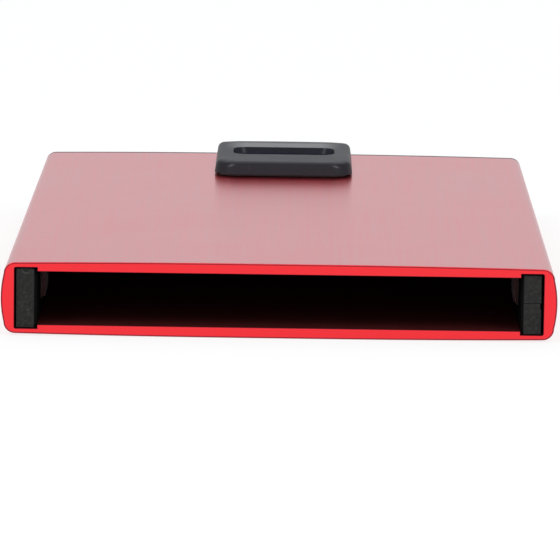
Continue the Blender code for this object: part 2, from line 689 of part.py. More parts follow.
def add_thumb_slide(slide):
    """The pad that the thumb pushes, with a stem that runs down through the case's slot."""
    slider = add_object("thumb_slide", pad_body(), (0, STEM_MIDDLE, PAD_BOTTOM), BLACK_PLASTIC, slide)
    stem = rounded_rectangle(
        (0, STEM_MIDDLE), 2 * STEM_HALF_WIDTH, STEM_LENGTH, SLOT_CORNER_RADIUS - SLIDE_CLEARANCE
    )
    join(slider, "stem", prism_z(stem, STEM_BOTTOM, PAD_BOTTOM + PAD_THICKNESS / 2))
    cut(slider, "thumb_recess", recess_form())
    cut(slider, "rear_fall", rear_fall())
    pilot = SLIDE_SCREW_DIAMETER / 2 + SCREW_HOLE_GAP
    for label, side in (("left", -1), ("right", 1)):
        hole = ((STEM_BOTTOM - OVERRUN, pilot), (SLIDE_SCREW_TIP + SCREW_HOLE_GAP, pilot))
        cut(slider, f"{label}_pilot", turned_z((side * SLIDE_SCREW_SPACING / 2, SLIDE_SCREW_Y), hole))


def add_glide_sheet(slide):
    """A thin film under the pad, so that it slides without marking the case."""
    form = prism_z(pad_outline(GLIDE_MARGIN), GLIDE_BOTTOM, GLIDE_TOP)
    sheet = add_object("glide_sheet", form, (0, STEM_MIDDLE, GLIDE_BOTTOM), GLIDE_FILM, slide)
    opening = rounded_rectangle(
        (0, STEM_MIDDLE),
        2 * (STEM_HALF_WIDTH + SLIDE_CLEARANCE),
        STEM_LENGTH + 2 * SLIDE_CLEARANCE,
        SLOT_CORNER_RADIUS,
    )
    cut(sheet, "stem_opening", prism_z(opening, GLIDE_BOTTOM - OVERRUN, GLIDE_TOP + OVERRUN))


def add_slide_screw(slide, label, side):
    """A small screw from below, through the lifter into the thumb slide's stem."""
    radius = SLIDE_SCREW_DIAMETER / 2
    head = SLIDE_SCREW_HEAD_DIAMETER / 2
    seat = SLIDE_SCREW_SEAT - SEAT_GAP
    bottom = seat - SLIDE_SCREW_HEAD_HEIGHT
    centre = (side * SLIDE_SCREW_SPACING / 2, SLIDE_SCREW_Y)
    stations = (
        (bottom, head - SLIDE_SCREW_HEAD_CHAMFER),
        (bottom + SLIDE_SCREW_HEAD_CHAMFER, head),
        (seat, head),
        (seat, radius),
        (SLIDE_SCREW_TIP - radius, radius),
        (SLIDE_SCREW_TIP, radius / 2),
    )
    screw = add_object(
        f"{label}_slide_screw", turned_z(centre, stations), (*centre, bottom), BLACK_STEEL, slide
    )

    def arm(middle, half_x, half_y):
        x, y = middle
        depth = (bottom - OVERRUN, bottom + SCREW_CROSS_DEPTH)
        return block((x - half_x, x + half_x), (y - half_y, y + half_y), depth)

    cut_cross(screw, centre, head - SCREW_CROSS_MARGIN, arm)


def add_grip_shoe(mount, label, side):
    """A shoe held in the rail's window, whose sloped nose lets cards ride in and grips their edge."""
    flange = SHOE_FLANGE_LENGTH / 2
    nose = SHOE_NOSE_LENGTH / 2
    face = SHOE_NOSE_FACE_LENGTH / 2
    outline = [
        (SHOE_FLANGE_BACK, -nose),
        (RAIL_FACE, -nose),
        (SHOE_NOSE_FACE, -face),
        (SHOE_NOSE_FACE, face),
        (RAIL_FACE, nose),
        (SHOE_FLANGE_BACK, nose),
    ]
    outline = [(side * x, SHOE_MIDDLE + y) for x, y in outline]
    rise = SHOE_NOSE_HEIGHT / 2
    form = prism_z(outline, MID_Z - rise, MID_Z + rise)
    origin = (side * SHOE_NOSE_FACE, SHOE_MIDDLE, MID_Z)
    shoe = add_object(f"{label}_grip_shoe", form, origin, RAIL_PLASTIC, mount)
    flange_rise = SHOE_FLANGE_HEIGHT / 2
    plate = block(
        (side * SHOE_FLANGE_FACE, side * SHOE_FLANGE_BACK),
        (SHOE_MIDDLE - flange, SHOE_MIDDLE + flange),
        (MID_Z - flange_rise, MID_Z + flange_rise),
    )
    join(shoe, "flange", plate)


def add_felt_strip(mount, label, side):
    """The strip of felt on a shoe's nose, with sloped ends."""
    half = FELT_LENGTH / 2
    outline = [
        (FELT_BACK, -half),
        (FELT_FACE, -half + FELT_THICKNESS),
        (FELT_FACE, half - FELT_THICKNESS),
        (FELT_BACK, half),
    ]
    outline = [(side * x, SHOE_MIDDLE + y) for x, y in outline]
    rise = FELT_HEIGHT / 2
    form = prism_z(outline, MID_Z - rise, MID_Z + rise)
    add_object(f"{label}_felt_strip", form, (side * FELT_FACE, SHOE_MIDDLE, MID_Z), GREY_FELT, mount)


def add_leaf_spring(holder, label, side):
    """A bowed strip of spring steel between a shoe and the case's side wall."""
    near = SHOE_FLANGE_BACK + LEAF_END_GAP
    far = CHANNEL_SIDE - LEAF_END_GAP
    bow = far - near - LEAF_THICKNESS
    inner, outer = [], []
    for step in range(LEAF_STEPS + 1):
        share = 2 * step / LEAF_STEPS - 1
        x = near + bow * share**2
        y = SHOE_MIDDLE + share * LEAF_LENGTH / 2
        inner.append((side * x, y))
        outer.append((side * (x + LEAF_THICKNESS), y))
    rise = LEAF_HEIGHT / 2
    form = prism_z(inner + outer[::-1], MID_Z - rise, MID_Z + rise)
    add_object(f"{label}_leaf_spring", form, (side * near, SHOE_MIDDLE, MID_Z), BRIGHT_STEEL, holder)


def main():
    """Builds the holder at rest: slide back, cards out, shoes sprung inwards."""
    clear_scene()
    holder = anchor("card_holder", (0, 0, 0))
    slide = anchor("slide_carrier", (0, STEM_MIDDLE, LIFTER_TOP), holder)
    add_case_shell(holder)
    add_end_cap(holder)
    add_card_lifter(slide)
    add_thumb_slide(slide)
    add_glide_sheet(slide)
    for label, side in (("left", -1), ("right", 1)):
        add_guide_rail(holder, label, side)
        add_guide_rod(holder, label, side)
        add_return_spring(holder, label, side)
        add_leaf_spring(holder, label, side)
        add_cap_screw(holder, label, side)
        add_slide_screw(slide, label, side)
        shoe_carrier = anchor(f"{label}_shoe_carrier", (side * RAIL_MID, SHOE_MIDDLE, MID_Z), holder)
        add_grip_shoe(shoe_carrier, label, side)
        add_felt_strip(shoe_carrier, label, side)


main()
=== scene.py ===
"""Looks of the pop-up card holder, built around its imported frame.

Each sub-assembly is a class that models its pieces with Blender's operators and dresses them. Each
finish is a small class that builds one procedural material, and the studio holds floor, light and camera.
Lengths are in metres, in the holder's own frame: X across it, Y from the mouth to the closed end, Z up.
"""

import logging
import math
from dataclasses import dataclass
from enum import Enum
from functools import reduce
from typing import Any, Callable, Self

import bmesh
import bpy
from mathutils import Matrix, Vector


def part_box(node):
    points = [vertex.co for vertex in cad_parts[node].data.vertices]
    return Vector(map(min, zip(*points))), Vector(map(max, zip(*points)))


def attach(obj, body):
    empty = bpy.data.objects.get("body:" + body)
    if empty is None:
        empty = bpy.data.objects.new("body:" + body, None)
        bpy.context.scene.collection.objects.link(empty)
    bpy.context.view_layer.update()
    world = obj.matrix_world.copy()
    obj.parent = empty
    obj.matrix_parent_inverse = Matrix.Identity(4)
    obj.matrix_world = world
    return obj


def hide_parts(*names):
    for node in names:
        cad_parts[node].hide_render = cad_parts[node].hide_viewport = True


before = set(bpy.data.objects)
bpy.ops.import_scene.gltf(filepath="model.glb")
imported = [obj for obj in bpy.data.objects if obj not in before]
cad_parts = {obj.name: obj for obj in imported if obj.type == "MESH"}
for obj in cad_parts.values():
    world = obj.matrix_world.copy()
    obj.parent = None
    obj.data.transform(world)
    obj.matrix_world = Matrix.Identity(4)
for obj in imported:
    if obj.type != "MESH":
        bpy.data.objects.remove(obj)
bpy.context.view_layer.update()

MM = 0.001
SHADE_ANGLE = math.radians(28)
QUARTER_TURN = math.pi / 2
OVERRUN = 1.0 * MM
TOUCH = 0.004 * MM
SHIFT_DIGITS = 8
PARALLEL = 0.999
SQUARE_ON = 0.95
HOLE_SIDES = 24
TURNED_SIDES = 32
NOISE_SPAN = (0.3, 0.7)
UNIT_SPAN = (0.0, 1.0)
WHITE = (1.0, 1.0, 1.0, 1.0)

Material = bpy.types.Material
Node = bpy.types.Node
Socket = bpy.types.NodeSocket
Colour = tuple[float, float, float]
Place = tuple[float, float, float]
Span = tuple[float, float]
Chooser = Callable[[Any], bool]

log = logging.getLogger("card_holder")


class Side(Enum):
    """The two sides of the holder, seen from its mouth."""

    LEFT = -1
    RIGHT = 1

    @property
    def label(self) -> str:
        """The side's word in the names of pieces."""
        return self.name.lower()

    def pick(self, pair: Span) -> float:
        """The value for this side from a pair for left and right."""
        return pair[self is Side.RIGHT]


class Axis(Enum):
    """An axis of the holder's frame, as the index of its coordinate."""

    X = 0
    Y = 1
    Z = 2

    @property
    def direction(self) -> Vector:
        """The unit vector along the axis."""
        return Vector([float(index == self.value) for index in range(3)])


class Part(Enum):
    """What a selection in edit mode picks, named as Blender's selection modes are."""

    VERT = "verts"
    EDGE = "edges"
    FACE = "faces"


def places(item: Any) -> list[Vector]:
    """The coordinates of a vertex, or of the vertices of an edge or a face."""
    return [vert.co for vert in getattr(item, "verts", [item])]


def at(axis: Axis, value: float) -> Chooser:
    """Chooses what lies wholly at one value on an axis."""
    return lambda item: all(abs(place[axis.value] - value) < TOUCH for place in places(item))


def beyond(axis: Axis, value: float, sign: int = 1) -> Chooser:
    """Chooses what lies wholly past a value on an axis, on the side that sign gives."""
    return lambda item: all(sign * (place[axis.value] - value) > -TOUCH for place in places(item))


def along(axis: Axis) -> Chooser:
    """Chooses the edges that run along an axis."""
    return lambda edge: abs((edge.verts[1].co - edge.verts[0].co).normalized()[axis.value]) > PARALLEL


def both(*choosers: Chooser) -> Chooser:
    """Chooses what every one of the choosers picks."""
    return lambda item: all(chooser(item) for chooser in choosers)


def anything(_: Any) -> bool:
    """Chooses everything."""
    return True


def ends_face(edge: Any) -> bool:
    """Whether an end face meets another face at an edge."""
    return len({abs(face.normal.y) > SQUARE_ON for face in edge.link_faces}) == 2


def rim_at(value: float) -> Chooser:
    """Chooses the edges at one value of Y where an end face meets another face."""
    return both(at(Axis.Y, value), ends_face)


def sharp(degrees: float = 50) -> Chooser:
    """Chooses the convex edges whose faces meet at more than an angle."""
    least = math.radians(degrees)
    return lambda edge: len(edge.link_faces) == 2 and edge.is_convex and edge.calc_face_angle(0.0) > least


def spread(middle: float, half: float) -> Span:
    """The span of a half width to both sides of a middle."""
    return (middle - half, middle + half)


class Workpiece:
    """One mesh that is shaped with Blender's modelling operators, like a piece on a bench."""

    def __init__(self, name: str, adder: Callable, **settings: Any) -> None:
        """Adds a primitive, names it and puts its place into its mesh.

        Args:
            name: the object's name.
            adder: the operator that adds it.
            settings: the operator's settings.
        """
        self.clear()
        adder(**settings)
        self.obj = bpy.context.view_layer.objects.active
        self.obj.name = name
        bpy.ops.object.transform_apply(location=True, rotation=True, scale=True)

    @staticmethod
    def clear() -> None:
        """Leaves edit mode and deselects every object."""
        if bpy.context.mode != "OBJECT":
            bpy.ops.object.mode_set(mode="OBJECT")
        bpy.ops.object.select_all(action="DESELECT")

    @classmethod
    def block(cls, name: str, x: Span, y: Span, z: Span) -> Self:
        """A block between two places on each axis, given in any order."""
        (low, high), size = map(Vector, zip(x, y, z)), [abs(b - a) for a, b in (x, y, z)]
        return cls(name, bpy.ops.mesh.primitive_cube_add, size=1, location=(low + high) / 2, scale=size)

    @classmethod
    def rod(
        cls, name: str, start: Place, axis: Axis, length: float, radius: float, sides: int = HOLE_SIDES
    ) -> Self:
        """A round rod from a point along Y or Z. A negative length runs the other way.

        Args:
            name: the object's name.
            start: the middle of its first end.
            axis: the axis that it runs along.
            length: its length.
            radius: its radius.
            sides: the number of its sides.

        Returns:
            The new workpiece.
        """
        centre = Vector(start) + axis.direction * length / 2
        turn = (QUARTER_TURN if axis is Axis.Y else 0, 0, 0)
        form = {"vertices": sides, "radius": radius, "depth": abs(length)}
        return cls(name, bpy.ops.mesh.primitive_cylinder_add, location=centre, rotation=turn, **form)

    @classmethod
    def turned(cls, name: str, centre: Place, stations: tuple[Span, ...]) -> Self:
        """A turned piece along Y: a rod whose end is extruded and widened station by station.

        Args:
            name: the object's name.
            centre: a point on its axis. Its Y isn't used.
            stations: pairs of a place along Y and a radius, in order.

        Returns:
            The new workpiece.
        """
        x, _, z = centre
        (start, radius), (reached, _) = stations[:2]
        piece = cls.rod(name, (x, start, z), Axis.Y, reached - start, radius, TURNED_SIDES)
        for number, (place, wanted) in enumerate(stations[1:]):
            if number:
                piece.extrude(at(Axis.Y, reached), (0, place - reached, 0))
            share = wanted / radius
            piece.widen(at(Axis.Y, place), (share, 1, share), (x, place, z))
            reached, radius = place, wanted
        return piece

    def hold(self) -> None:
        """Makes this piece the only selected and the active object."""
        self.clear()
        self.obj.select_set(True)
        bpy.context.view_layer.objects.active = self.obj

    def shape(self, part: Part, chosen: Chooser, operator: Callable, **settings: Any) -> Self:
        """Selects part of the mesh in edit mode and runs one operator on it.

        Args:
            part: whether vertices, edges or faces are chosen.
            chosen: says of each whether it is selected.
            operator: the operator from bpy.ops.
            settings: the operator's settings.

        Returns:
            This workpiece, for the next step.
        """
        self.hold()
        bpy.ops.object.mode_set(mode="EDIT")
        bpy.ops.mesh.select_mode(type=part.name)
        bpy.ops.mesh.select_all(action="DESELECT")
        mesh = bmesh.from_edit_mesh(self.obj.data)
        for item in getattr(mesh, part.value):
            item.select_set(bool(chosen(item)))
        mesh.select_flush_mode()
        bmesh.update_edit_mesh(self.obj.data)
        operator(**settings)
        bpy.ops.object.mode_set(mode="OBJECT")
        return self

    def bevel(self, chosen: Chooser, width: float, segments: int = 3) -> Self:
        """Rounds the chosen edges."""
        form = {"offset": width, "segments": segments, "clamp_overlap": True}
        return self.shape(Part.EDGE, chosen, bpy.ops.mesh.bevel, **form)

    def slice(self, axis: Axis, *values: float) -> None:
        """Cuts loops through the whole mesh, square to an axis.

        Args:
            axis: the axis that the loops are square to.
            values: their places on it.
        """
        for value in values:
            plane = {"plane_co": axis.direction * value, "plane_no": axis.direction}
            self.shape(Part.FACE, anything, bpy.ops.mesh.bisect, **plane)

    def move(self, chosen: Chooser, shift: Place) -> Self:
        """Moves the chosen vertices."""
        return self.shape(Part.VERT, chosen, bpy.ops.transform.translate, value=shift)

    def drift(self, chosen: Chooser, shift_of: Callable[[Vector], Place]) -> Self:
        """Moves each of the chosen vertices by its own shift, those of one shift together.

        Args:
            chosen: says of each vertex whether it moves.
            shift_of: gives the shift for a place.

        Returns:
            This workpiece.
        """
        groups: dict[Place, set[int]] = {}
        for vert in self.obj.data.vertices:
            if chosen(vert):
                shift = tuple(round(value, SHIFT_DIGITS) for value in shift_of(vert.co))
                groups.setdefault(shift, set()).add(vert.index)
        for shift, group in groups.items():
            if any(shift):
                self.move(lambda vert: vert.index in group, shift)
        return self

    def widen(self, chosen: Chooser, factors: Place, centre: Place) -> Self:
        """Scales the chosen vertices about a centre."""
        form = {"value": factors, "center_override": centre}
        return self.shape(Part.VERT, chosen, bpy.ops.transform.resize, **form)

    def extrude(self, chosen: Chooser, shift: Place) -> Self:
        """Extrudes the chosen faces by a shift."""
        form = {"TRANSFORM_OT_translate": {"value": shift}}
        return self.shape(Part.FACE, chosen, bpy.ops.mesh.extrude_region_move, **form)

    def modify(self, kind: str, **settings: Any) -> None:
        """Adds a modifier, sets it and applies it.

        Args:
            kind: Blender's word for the modifier.
            settings: the modifier's properties.
        """
        self.hold()
        change = self.obj.modifiers.new(kind.lower(), kind)
        for key, value in settings.items():
            setattr(change, key, value)
        bpy.ops.object.modifier_apply(modifier=change.name)

    def combine(self, other: Self, operation: str) -> None:
        """Combines this workpiece with another one, which is used up."""
        self.modify("BOOLEAN", object=other.obj, operation=operation, solver="EXACT")
        bpy.data.objects.remove(other.obj, do_unlink=True)

    def cut(self, other: Self) -> None:
        """Cuts another workpiece's form out of this one."""
        self.combine(other, "DIFFERENCE")

    def join(self, other: Self) -> None:
        """Joins another workpiece's form on to this one."""
        self.combine(other, "UNION")

    def clean(self) -> None:
        """Merges doubles, makes the normals face out and shades by angle."""
        self.shape(Part.VERT, anything, bpy.ops.mesh.remove_doubles, threshold=TOUCH / 2)
        self.shape(Part.FACE, anything, bpy.ops.mesh.normals_make_consistent, inside=False)
        self.hold()
        bpy.ops.object.shade_smooth_by_angle(angle=SHADE_ANGLE)

    def paint(self, *coats: tuple["Coat", Chooser], weighted: bool = True) -> Self:
        """Cleans the mesh and gives each face the last finish whose test it passes.

        Args:
            coats: pairs of a finish and a test of the mesh's faces.
            weighted: whether the normals then follow the larger faces.

        Returns:
            This workpiece.
        """
        self.clean()
        mesh = self.obj.data
        mesh.materials.clear()
        for coat, _ in coats:
            mesh.materials.append(coat.value.material())
        for face in mesh.polygons:
            for index, (_, chosen) in enumerate(coats):
                if chosen(face):
                    face.material_index = index
        if weighted:
            self.modify("WEIGHTED_NORMAL", keep_sharp=True)
        return self

    def hand_in(self, body: str, slot: str, *nodes: str) -> None:
        """Ties the finished piece to the frame and reports it.

        Args:
            body: the body that it rides on.
            slot: a material slot's name; not used.
            nodes: the nodes that it stands for.
        """
        self.clear()
        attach(self.obj, body)
        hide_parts(*nodes)
        log.info("%s: %d faces, rides on %s", self.obj.name, len(self.obj.data.polygons), body)


class Nodes:
    """A node tree that is filled by short calls."""

    def __init__(self, tree: bpy.types.NodeTree) -> None:
        """Takes a tree to fill."""
        self.tree = tree

    def feed(self, node: Node, inputs: dict[Any, Any]) -> Node:
        """Gives a node's inputs values, or links sockets to them.

        Args:
            node: the node.
            inputs: values or sockets by an input's name or number.

        Returns:
            The node.
        """
        for key, value in inputs.items():
            if isinstance(value, Socket):
                self.tree.links.new(value, node.inputs[key])
            else:
                node.inputs[key].default_value = value
        return node

    def add(self, kind: str, inputs: dict[Any, Any] | None = None, **properties: Any) -> Node:
        """Adds a node.

        Args:
            kind: Blender's type of the node, without its ShaderNode prefix.
            inputs: values or sockets by an input's name or number.
            properties: the node's own properties.

        Returns:
            The new node.
        """
        node = self.tree.nodes.new(f"ShaderNode{kind}")
        for key, value in properties.items():
            setattr(node, key, value)
        return self.feed(node, inputs or {})

    def math(self, operation: str, first: Any, second: Any = 0.0) -> Socket:
        """Adds a Math node and returns its output."""
        return self.add("Math", {0: first, 1: second}, operation=operation).outputs[0]

    def total(self, *terms: Any) -> Socket:
        """The sum of values or sockets."""
        return reduce(lambda first, second: self.math("ADD", first, second), terms)

    def product(self, *factors: Any) -> Socket:
        """The product of values or sockets."""
        return reduce(lambda first, second: self.math("MULTIPLY", first, second), factors)

    def mix(self, factor: Any, first: Any, second: Any) -> Socket:
        """Mixes two colours and returns the result's socket."""
        return self.add("Mix", {0: factor, 6: first, 7: second}, data_type="RGBA").outputs[2]

    def remap(self, value: Any, old: Span, new: Span) -> Socket:
        """Maps one range on to another, clamped, and returns the result's socket."""
        ranges = {"From Min": old[0], "From Max": old[1], "To Min": new[0], "To Max": new[1]}
        return self.add("MapRange", {"Value": value, **ranges}).outputs[0]

    def sway(self, value: Any, middle: float, share: float, old: Span = NOISE_SPAN) -> Socket:
        """Maps a noise on to a range that reaches a share of its middle to both sides."""
        return self.remap(value, old, (middle * (1 - share), middle * (1 + share)))

    def bump(self, height: Any, strength: float, depth: float) -> Socket:
        """The normal of a surface with a relief."""
        return self.add("Bump", {"Strength": strength, "Distance": depth, "Height": height}).outputs[0]

    def object_place(self) -> Socket:
        """Object coordinates in millimetres."""
        source = self.add("TexCoord").outputs["Object"]
        return self.add("Mapping", {"Vector": source, "Scale": (1 / MM,) * 3}).outputs[0]

    def bent_place(self, place: Socket, scale: float, detail: float) -> Socket:
        """A place, shifted by a noise."""
        shift = self.noise(place, scale, detail)
        return self.add("VectorMath", {0: place, 1: shift}, operation="ADD").outputs[0]

    def noise(self, vector: Any, scale: Any, detail: float = 3.0, roughness: float = 0.55) -> Socket:
        """Adds a noise texture and returns its value's socket."""
        inputs = {"Vector": vector, "Scale": scale, "Detail": detail, "Roughness": roughness}
        return self.add("TexNoise", inputs).outputs[0]

    def cells(self, vector: Any, scale: Any, feature: str) -> Socket:
        """Adds a Voronoi texture and returns its distance's socket."""
        texture = self.add("TexVoronoi", {"Vector": vector, "Scale": scale}, feature=feature)
        return texture.outputs["Distance"]


class EffectGroup:
    """A shader node group that several finishes share."""

    name: str
    inputs: dict[str, float]
    outputs: tuple[str, ...]

    def tree(self) -> bpy.types.NodeTree:
        """Gives the group, built the first time that it is asked for.

        Returns:
            The group's tree.
        """
        found = bpy.data.node_groups.get(self.name)
        if found:
            return found
        made = bpy.data.node_groups.new(self.name, "ShaderNodeTree")
        for label, value in self.inputs.items():
            socket = made.interface.new_socket(label, in_out="INPUT", socket_type="NodeSocketFloat")
            socket.default_value = value
        for label in self.outputs:
            made.interface.new_socket(label, in_out="OUTPUT", socket_type="NodeSocketFloat")
        entry, leave = made.nodes.new("NodeGroupInput"), made.nodes.new("NodeGroupOutput")
        nodes = Nodes(made)
        nodes.feed(leave, self.fill(nodes, entry.outputs))
        return made

    def fill(self, nodes: Nodes, given: Any) -> dict[str, Socket]:
        """Builds the group's inside.

        Args:
            nodes: the group's tree.
            given: the sockets of the group's inputs.

        Returns:
            The socket for each output.
        """
        raise NotImplementedError

    def place(self, nodes: Nodes, *values: float) -> Any:
        """Places the group in a material with its own values, in order, and returns its outputs."""
        return nodes.add("Group", dict(enumerate(values)), node_tree=self.tree()).outputs


class BrushLines(EffectGroup):
    """Fine lines that a belt leaves along Y, in strands of two widths."""

    name = "brush_lines"
    inputs = {"Fine width": 0.05, "Broad width": 0.6, "Length": 40.0}
    outputs = ("Fine", "Broad")

    def fill(self, nodes: Nodes, given: Any) -> dict[str, Socket]:
        """Stretches two noises along Y.

        Args:
            nodes: the group's tree.
            given: the sockets of the group's inputs.

        Returns:
            The socket for each output.
        """
        split = nodes.add("SeparateXYZ", {0: nodes.object_place()}).outputs
        sockets = {}
        for label in self.outputs:
            widths = given[f"{label} width"], given["Length"], given[f"{label} width"]
            shares = [nodes.math("DIVIDE", place, width) for place, width in zip(split, widths)]
            line = nodes.add("CombineXYZ", dict(enumerate(shares))).outputs[0]
            sockets[label] = nodes.noise(line, 1.0, detail=4.0, roughness=0.65)
        return sockets


class HandMarks(EffectGroup):
    """Soft, cloudy changes of gloss, as handling leaves them, with sparse short scratches."""

    name = "hand_marks"
    inputs = {"Cloud size": 14.0, "Scratch size": 2.2}
    outputs = ("Clouds", "Scratches")
    warp_scale = 0.35
    scratch_width = 0.012
    patch_scale = 0.21
    patch_span = (0.58, 0.66)

    def fill(self, nodes: Nodes, given: Any) -> dict[str, Socket]:
        """Combines a broad noise with thin warped cell borders.

        Args:
            nodes: the group's tree.
            given: the sockets of the group's inputs.

        Returns:
            The socket for each output.
        """
        place = nodes.object_place()
        cloud_scale, scratch_scale = (nodes.math("DIVIDE", 1.0, given[size]) for size in self.inputs)
        bent = nodes.bent_place(place, self.warp_scale, detail=1.0)
        border = nodes.cells(bent, scratch_scale, "DISTANCE_TO_EDGE")
        line = nodes.remap(border, (0.0, self.scratch_width), (1.0, 0.0))
        sparse = nodes.remap(nodes.noise(place, self.patch_scale, detail=0.0), self.patch_span, UNIT_SPAN)
        clouds = nodes.noise(place, cloud_scale, detail=4.0)
        return {"Clouds": clouds, "Scratches": nodes.product(line, sparse)}


class MouldGrain(EffectGroup):
    """The fine matt grain of a moulded plastic surface, with lighter specks scattered over it."""

    name = "mould_grain"
    inputs = {"Grain size": 0.09, "Speck size": 0.32}
    outputs = ("Grain", "Specks")
    pit_share = 0.6
    speck_span = (0.42, 0.72)

    def fill(self, nodes: Nodes, given: Any) -> dict[str, Socket]:
        """Mixes a cell pattern with a noise of the same size, and thins a coarser noise to specks.

        Args:
            nodes: the group's tree.
            given: the sockets of the group's inputs.

        Returns:
            The socket for each output.
        """
        place = nodes.object_place()
        scale, speck_scale = (nodes.math("DIVIDE", 1.0, given[size]) for size in self.inputs)
        pits = nodes.product(nodes.cells(place, scale, "SMOOTH_F1"), self.pit_share)
        fuzz = nodes.product(nodes.noise(place, scale, detail=2.0), 1 - self.pit_share)
        mottle = nodes.noise(place, speck_scale, detail=3.0, roughness=0.7)
        specks = nodes.remap(mottle, self.speck_span, UNIT_SPAN)
        return {"Grain": nodes.total(pits, fuzz), "Specks": specks}


def blank_material(name: str) -> tuple[Material, Nodes, Node]:
    """Makes an empty Principled material.

    Args:
        name: the material's name.

    Returns:
        The material, its tree and its Principled node.
    """
    material = bpy.data.materials.new(name)
    material.use_nodes = True
    nodes = Nodes(material.node_tree)
    return material, nodes, nodes.tree.nodes["Principled BSDF"]


@dataclass(frozen=True)
class Finish:
    """A procedural material: one Principled shader and what feeds it."""

    name: str
    colour: Colour

    def material(self) -> Material:
        """Gives the material, built the first time that it is asked for.

        Returns:
            The material.
        """
        found = bpy.data.materials.get(self.name)
        if found:
            return found
        material, nodes, shader = blank_material(self.name)
        nodes.feed(shader, self.inputs(nodes))
        return material

    def inputs(self, nodes: Nodes) -> dict[str, Any]:
        """What feeds the shader, by the names of its inputs."""
        raise NotImplementedError

    def shade(self, factor: float) -> tuple[float, ...]:
        """The colour made lighter or darker by a factor, with full alpha."""
        return tuple(min(1.0, channel * factor) for channel in self.colour) + (1.0,)

    def blend(self, nodes: Nodes, share: Any, low: float, high: float) -> Socket:
        """The colour between two of its shades."""
        return nodes.mix(share, self.shade(low), self.shade(high))


@dataclass(frozen=True)
class Anodised(Finish):
    """Red anodised aluminium under a clear oxide layer, brushed along Y or left as it was cut."""

    roughness: float
    variation: float
    bump: float
    coat: float = 0.5
    coat_roughness: float = 0.25
    edge_tint: Colour = (0.77, 1.0, 1.0)
    fine_width: float = 0.06
    broad_width: float = 0.7
    length: float = 38.0
    fine_share: float = 0.6
    gloss_span: Span = (0.25, 0.75)
    gloss_sway: float = 0.12
    cloud_sway: float = 0.012
    scratch_share: float = 0.25
    scratch_tone: float = 1.5
    scratch_depth: float = 0.5
    relief: float = 0.004 * MM

    def inputs(self, nodes: Nodes) -> dict[str, Any]:
        """The brushed lines change colour, gloss and relief together, and scratches shine through.

        Args:
            nodes: the material's tree.

        Returns:
            What feeds the shader, by the names of its inputs.
        """
        lines = BrushLines().place(nodes, self.fine_width, self.broad_width, self.length)
        marks = HandMarks().place(nodes)
        fine, broad = nodes.product(lines[0], self.fine_share), nodes.product(lines[1], 1 - self.fine_share)
        streak = nodes.total(fine, broad)
        tone = nodes.remap(streak, NOISE_SPAN, UNIT_SPAN)
        colour = self.blend(nodes, tone, 1 - self.variation, 1 + self.variation)
        worn = nodes.product(marks["Scratches"], self.scratch_share)
        gloss = nodes.sway(streak, self.roughness, self.gloss_sway, self.gloss_span)
        cloud = nodes.remap(marks["Clouds"], NOISE_SPAN, (-self.cloud_sway, self.cloud_sway))
        relief = nodes.math("SUBTRACT", streak, nodes.product(marks["Scratches"], self.scratch_depth))
        return {
            "Base Color": nodes.mix(worn, colour, self.shade(self.scratch_tone)),
            "Roughness": nodes.total(gloss, cloud),
            "Normal": nodes.bump(relief, self.bump, self.relief),
            "Metallic": 1.0,
            "Specular Tint": (*self.edge_tint, 1.0),
            "Coat Weight": self.coat,
            "Coat Roughness": self.coat_roughness,
        }


@dataclass(frozen=True)
class Moulded(Finish):
    """Black moulded plastic with a fine grain, a thin glossy skin and a little handling gloss."""

    roughness: float
    specular: float = 0.5
    skin: float = 0.0
    skin_roughness: float = 0.18
    skin_ior: float = 1.5
    specks: float = 0.15
    speck_tone: float = 2.6
    scratch_tone: float = 2.2
    polish: float = 0.0
    polish_middle: float = 43.4
    polish_length: Span = (1.6, 4.2)
    polish_width: Span = (5.0, 7.5)
    cloud_size: float = 7.0
    scratch_size: float = 1.6
    bump: float = 0.25
    relief: float = 0.006 * MM
    variation: float = 0.14
    gloss_sway: float = 0.1

    def inputs(self, nodes: Nodes) -> dict[str, Any]:
        """The grain gives the relief, and clouds and specks change the colour and the gloss.

        Args:
            nodes: the material's tree.

        Returns:
            What feeds the shader, by the names of its inputs.
        """
        grain = MouldGrain().place(nodes)
        marks = HandMarks().place(nodes, self.cloud_size, self.scratch_size)
        clouds = nodes.remap(marks["Clouds"], NOISE_SPAN, UNIT_SPAN)
        colour = self.blend(nodes, clouds, 1 - self.variation, 1 + self.variation)
        specks = nodes.product(grain["Specks"], self.specks)
        mottled = nodes.mix(specks, colour, self.shade(self.speck_tone))
        return {
            "Base Color": nodes.mix(marks["Scratches"], mottled, self.shade(self.scratch_tone)),
            "Roughness": nodes.sway(marks["Clouds"], self.roughness, self.gloss_sway),
            "Normal": nodes.bump(grain["Grain"], self.bump, self.relief),
            "Specular IOR Level": self.specular,
            "Coat Weight": self._polished(nodes) if self.polish else self.skin,
            "Coat Roughness": self.skin_roughness,
            "Coat IOR": self.skin_ior,
        }

    def _polished(self, nodes: Nodes) -> Socket:
        """The skin's weight, higher on a patch that thumbs have polished.

        Args:
            nodes: the material's tree.

        Returns:
            The socket of the weight.
        """
        place = nodes.add("SeparateXYZ", {0: nodes.object_place()}).outputs
        off_middle = nodes.math("ABSOLUTE", nodes.math("SUBTRACT", place[1], self.polish_middle))
        lengthwise = nodes.remap(off_middle, self.polish_length, (self.polish, 0.0))
        across = nodes.remap(nodes.math("ABSOLUTE", place[0]), self.polish_width, (1.0, 0.0))
        return nodes.total(nodes.product(across, lengthwise), self.skin)


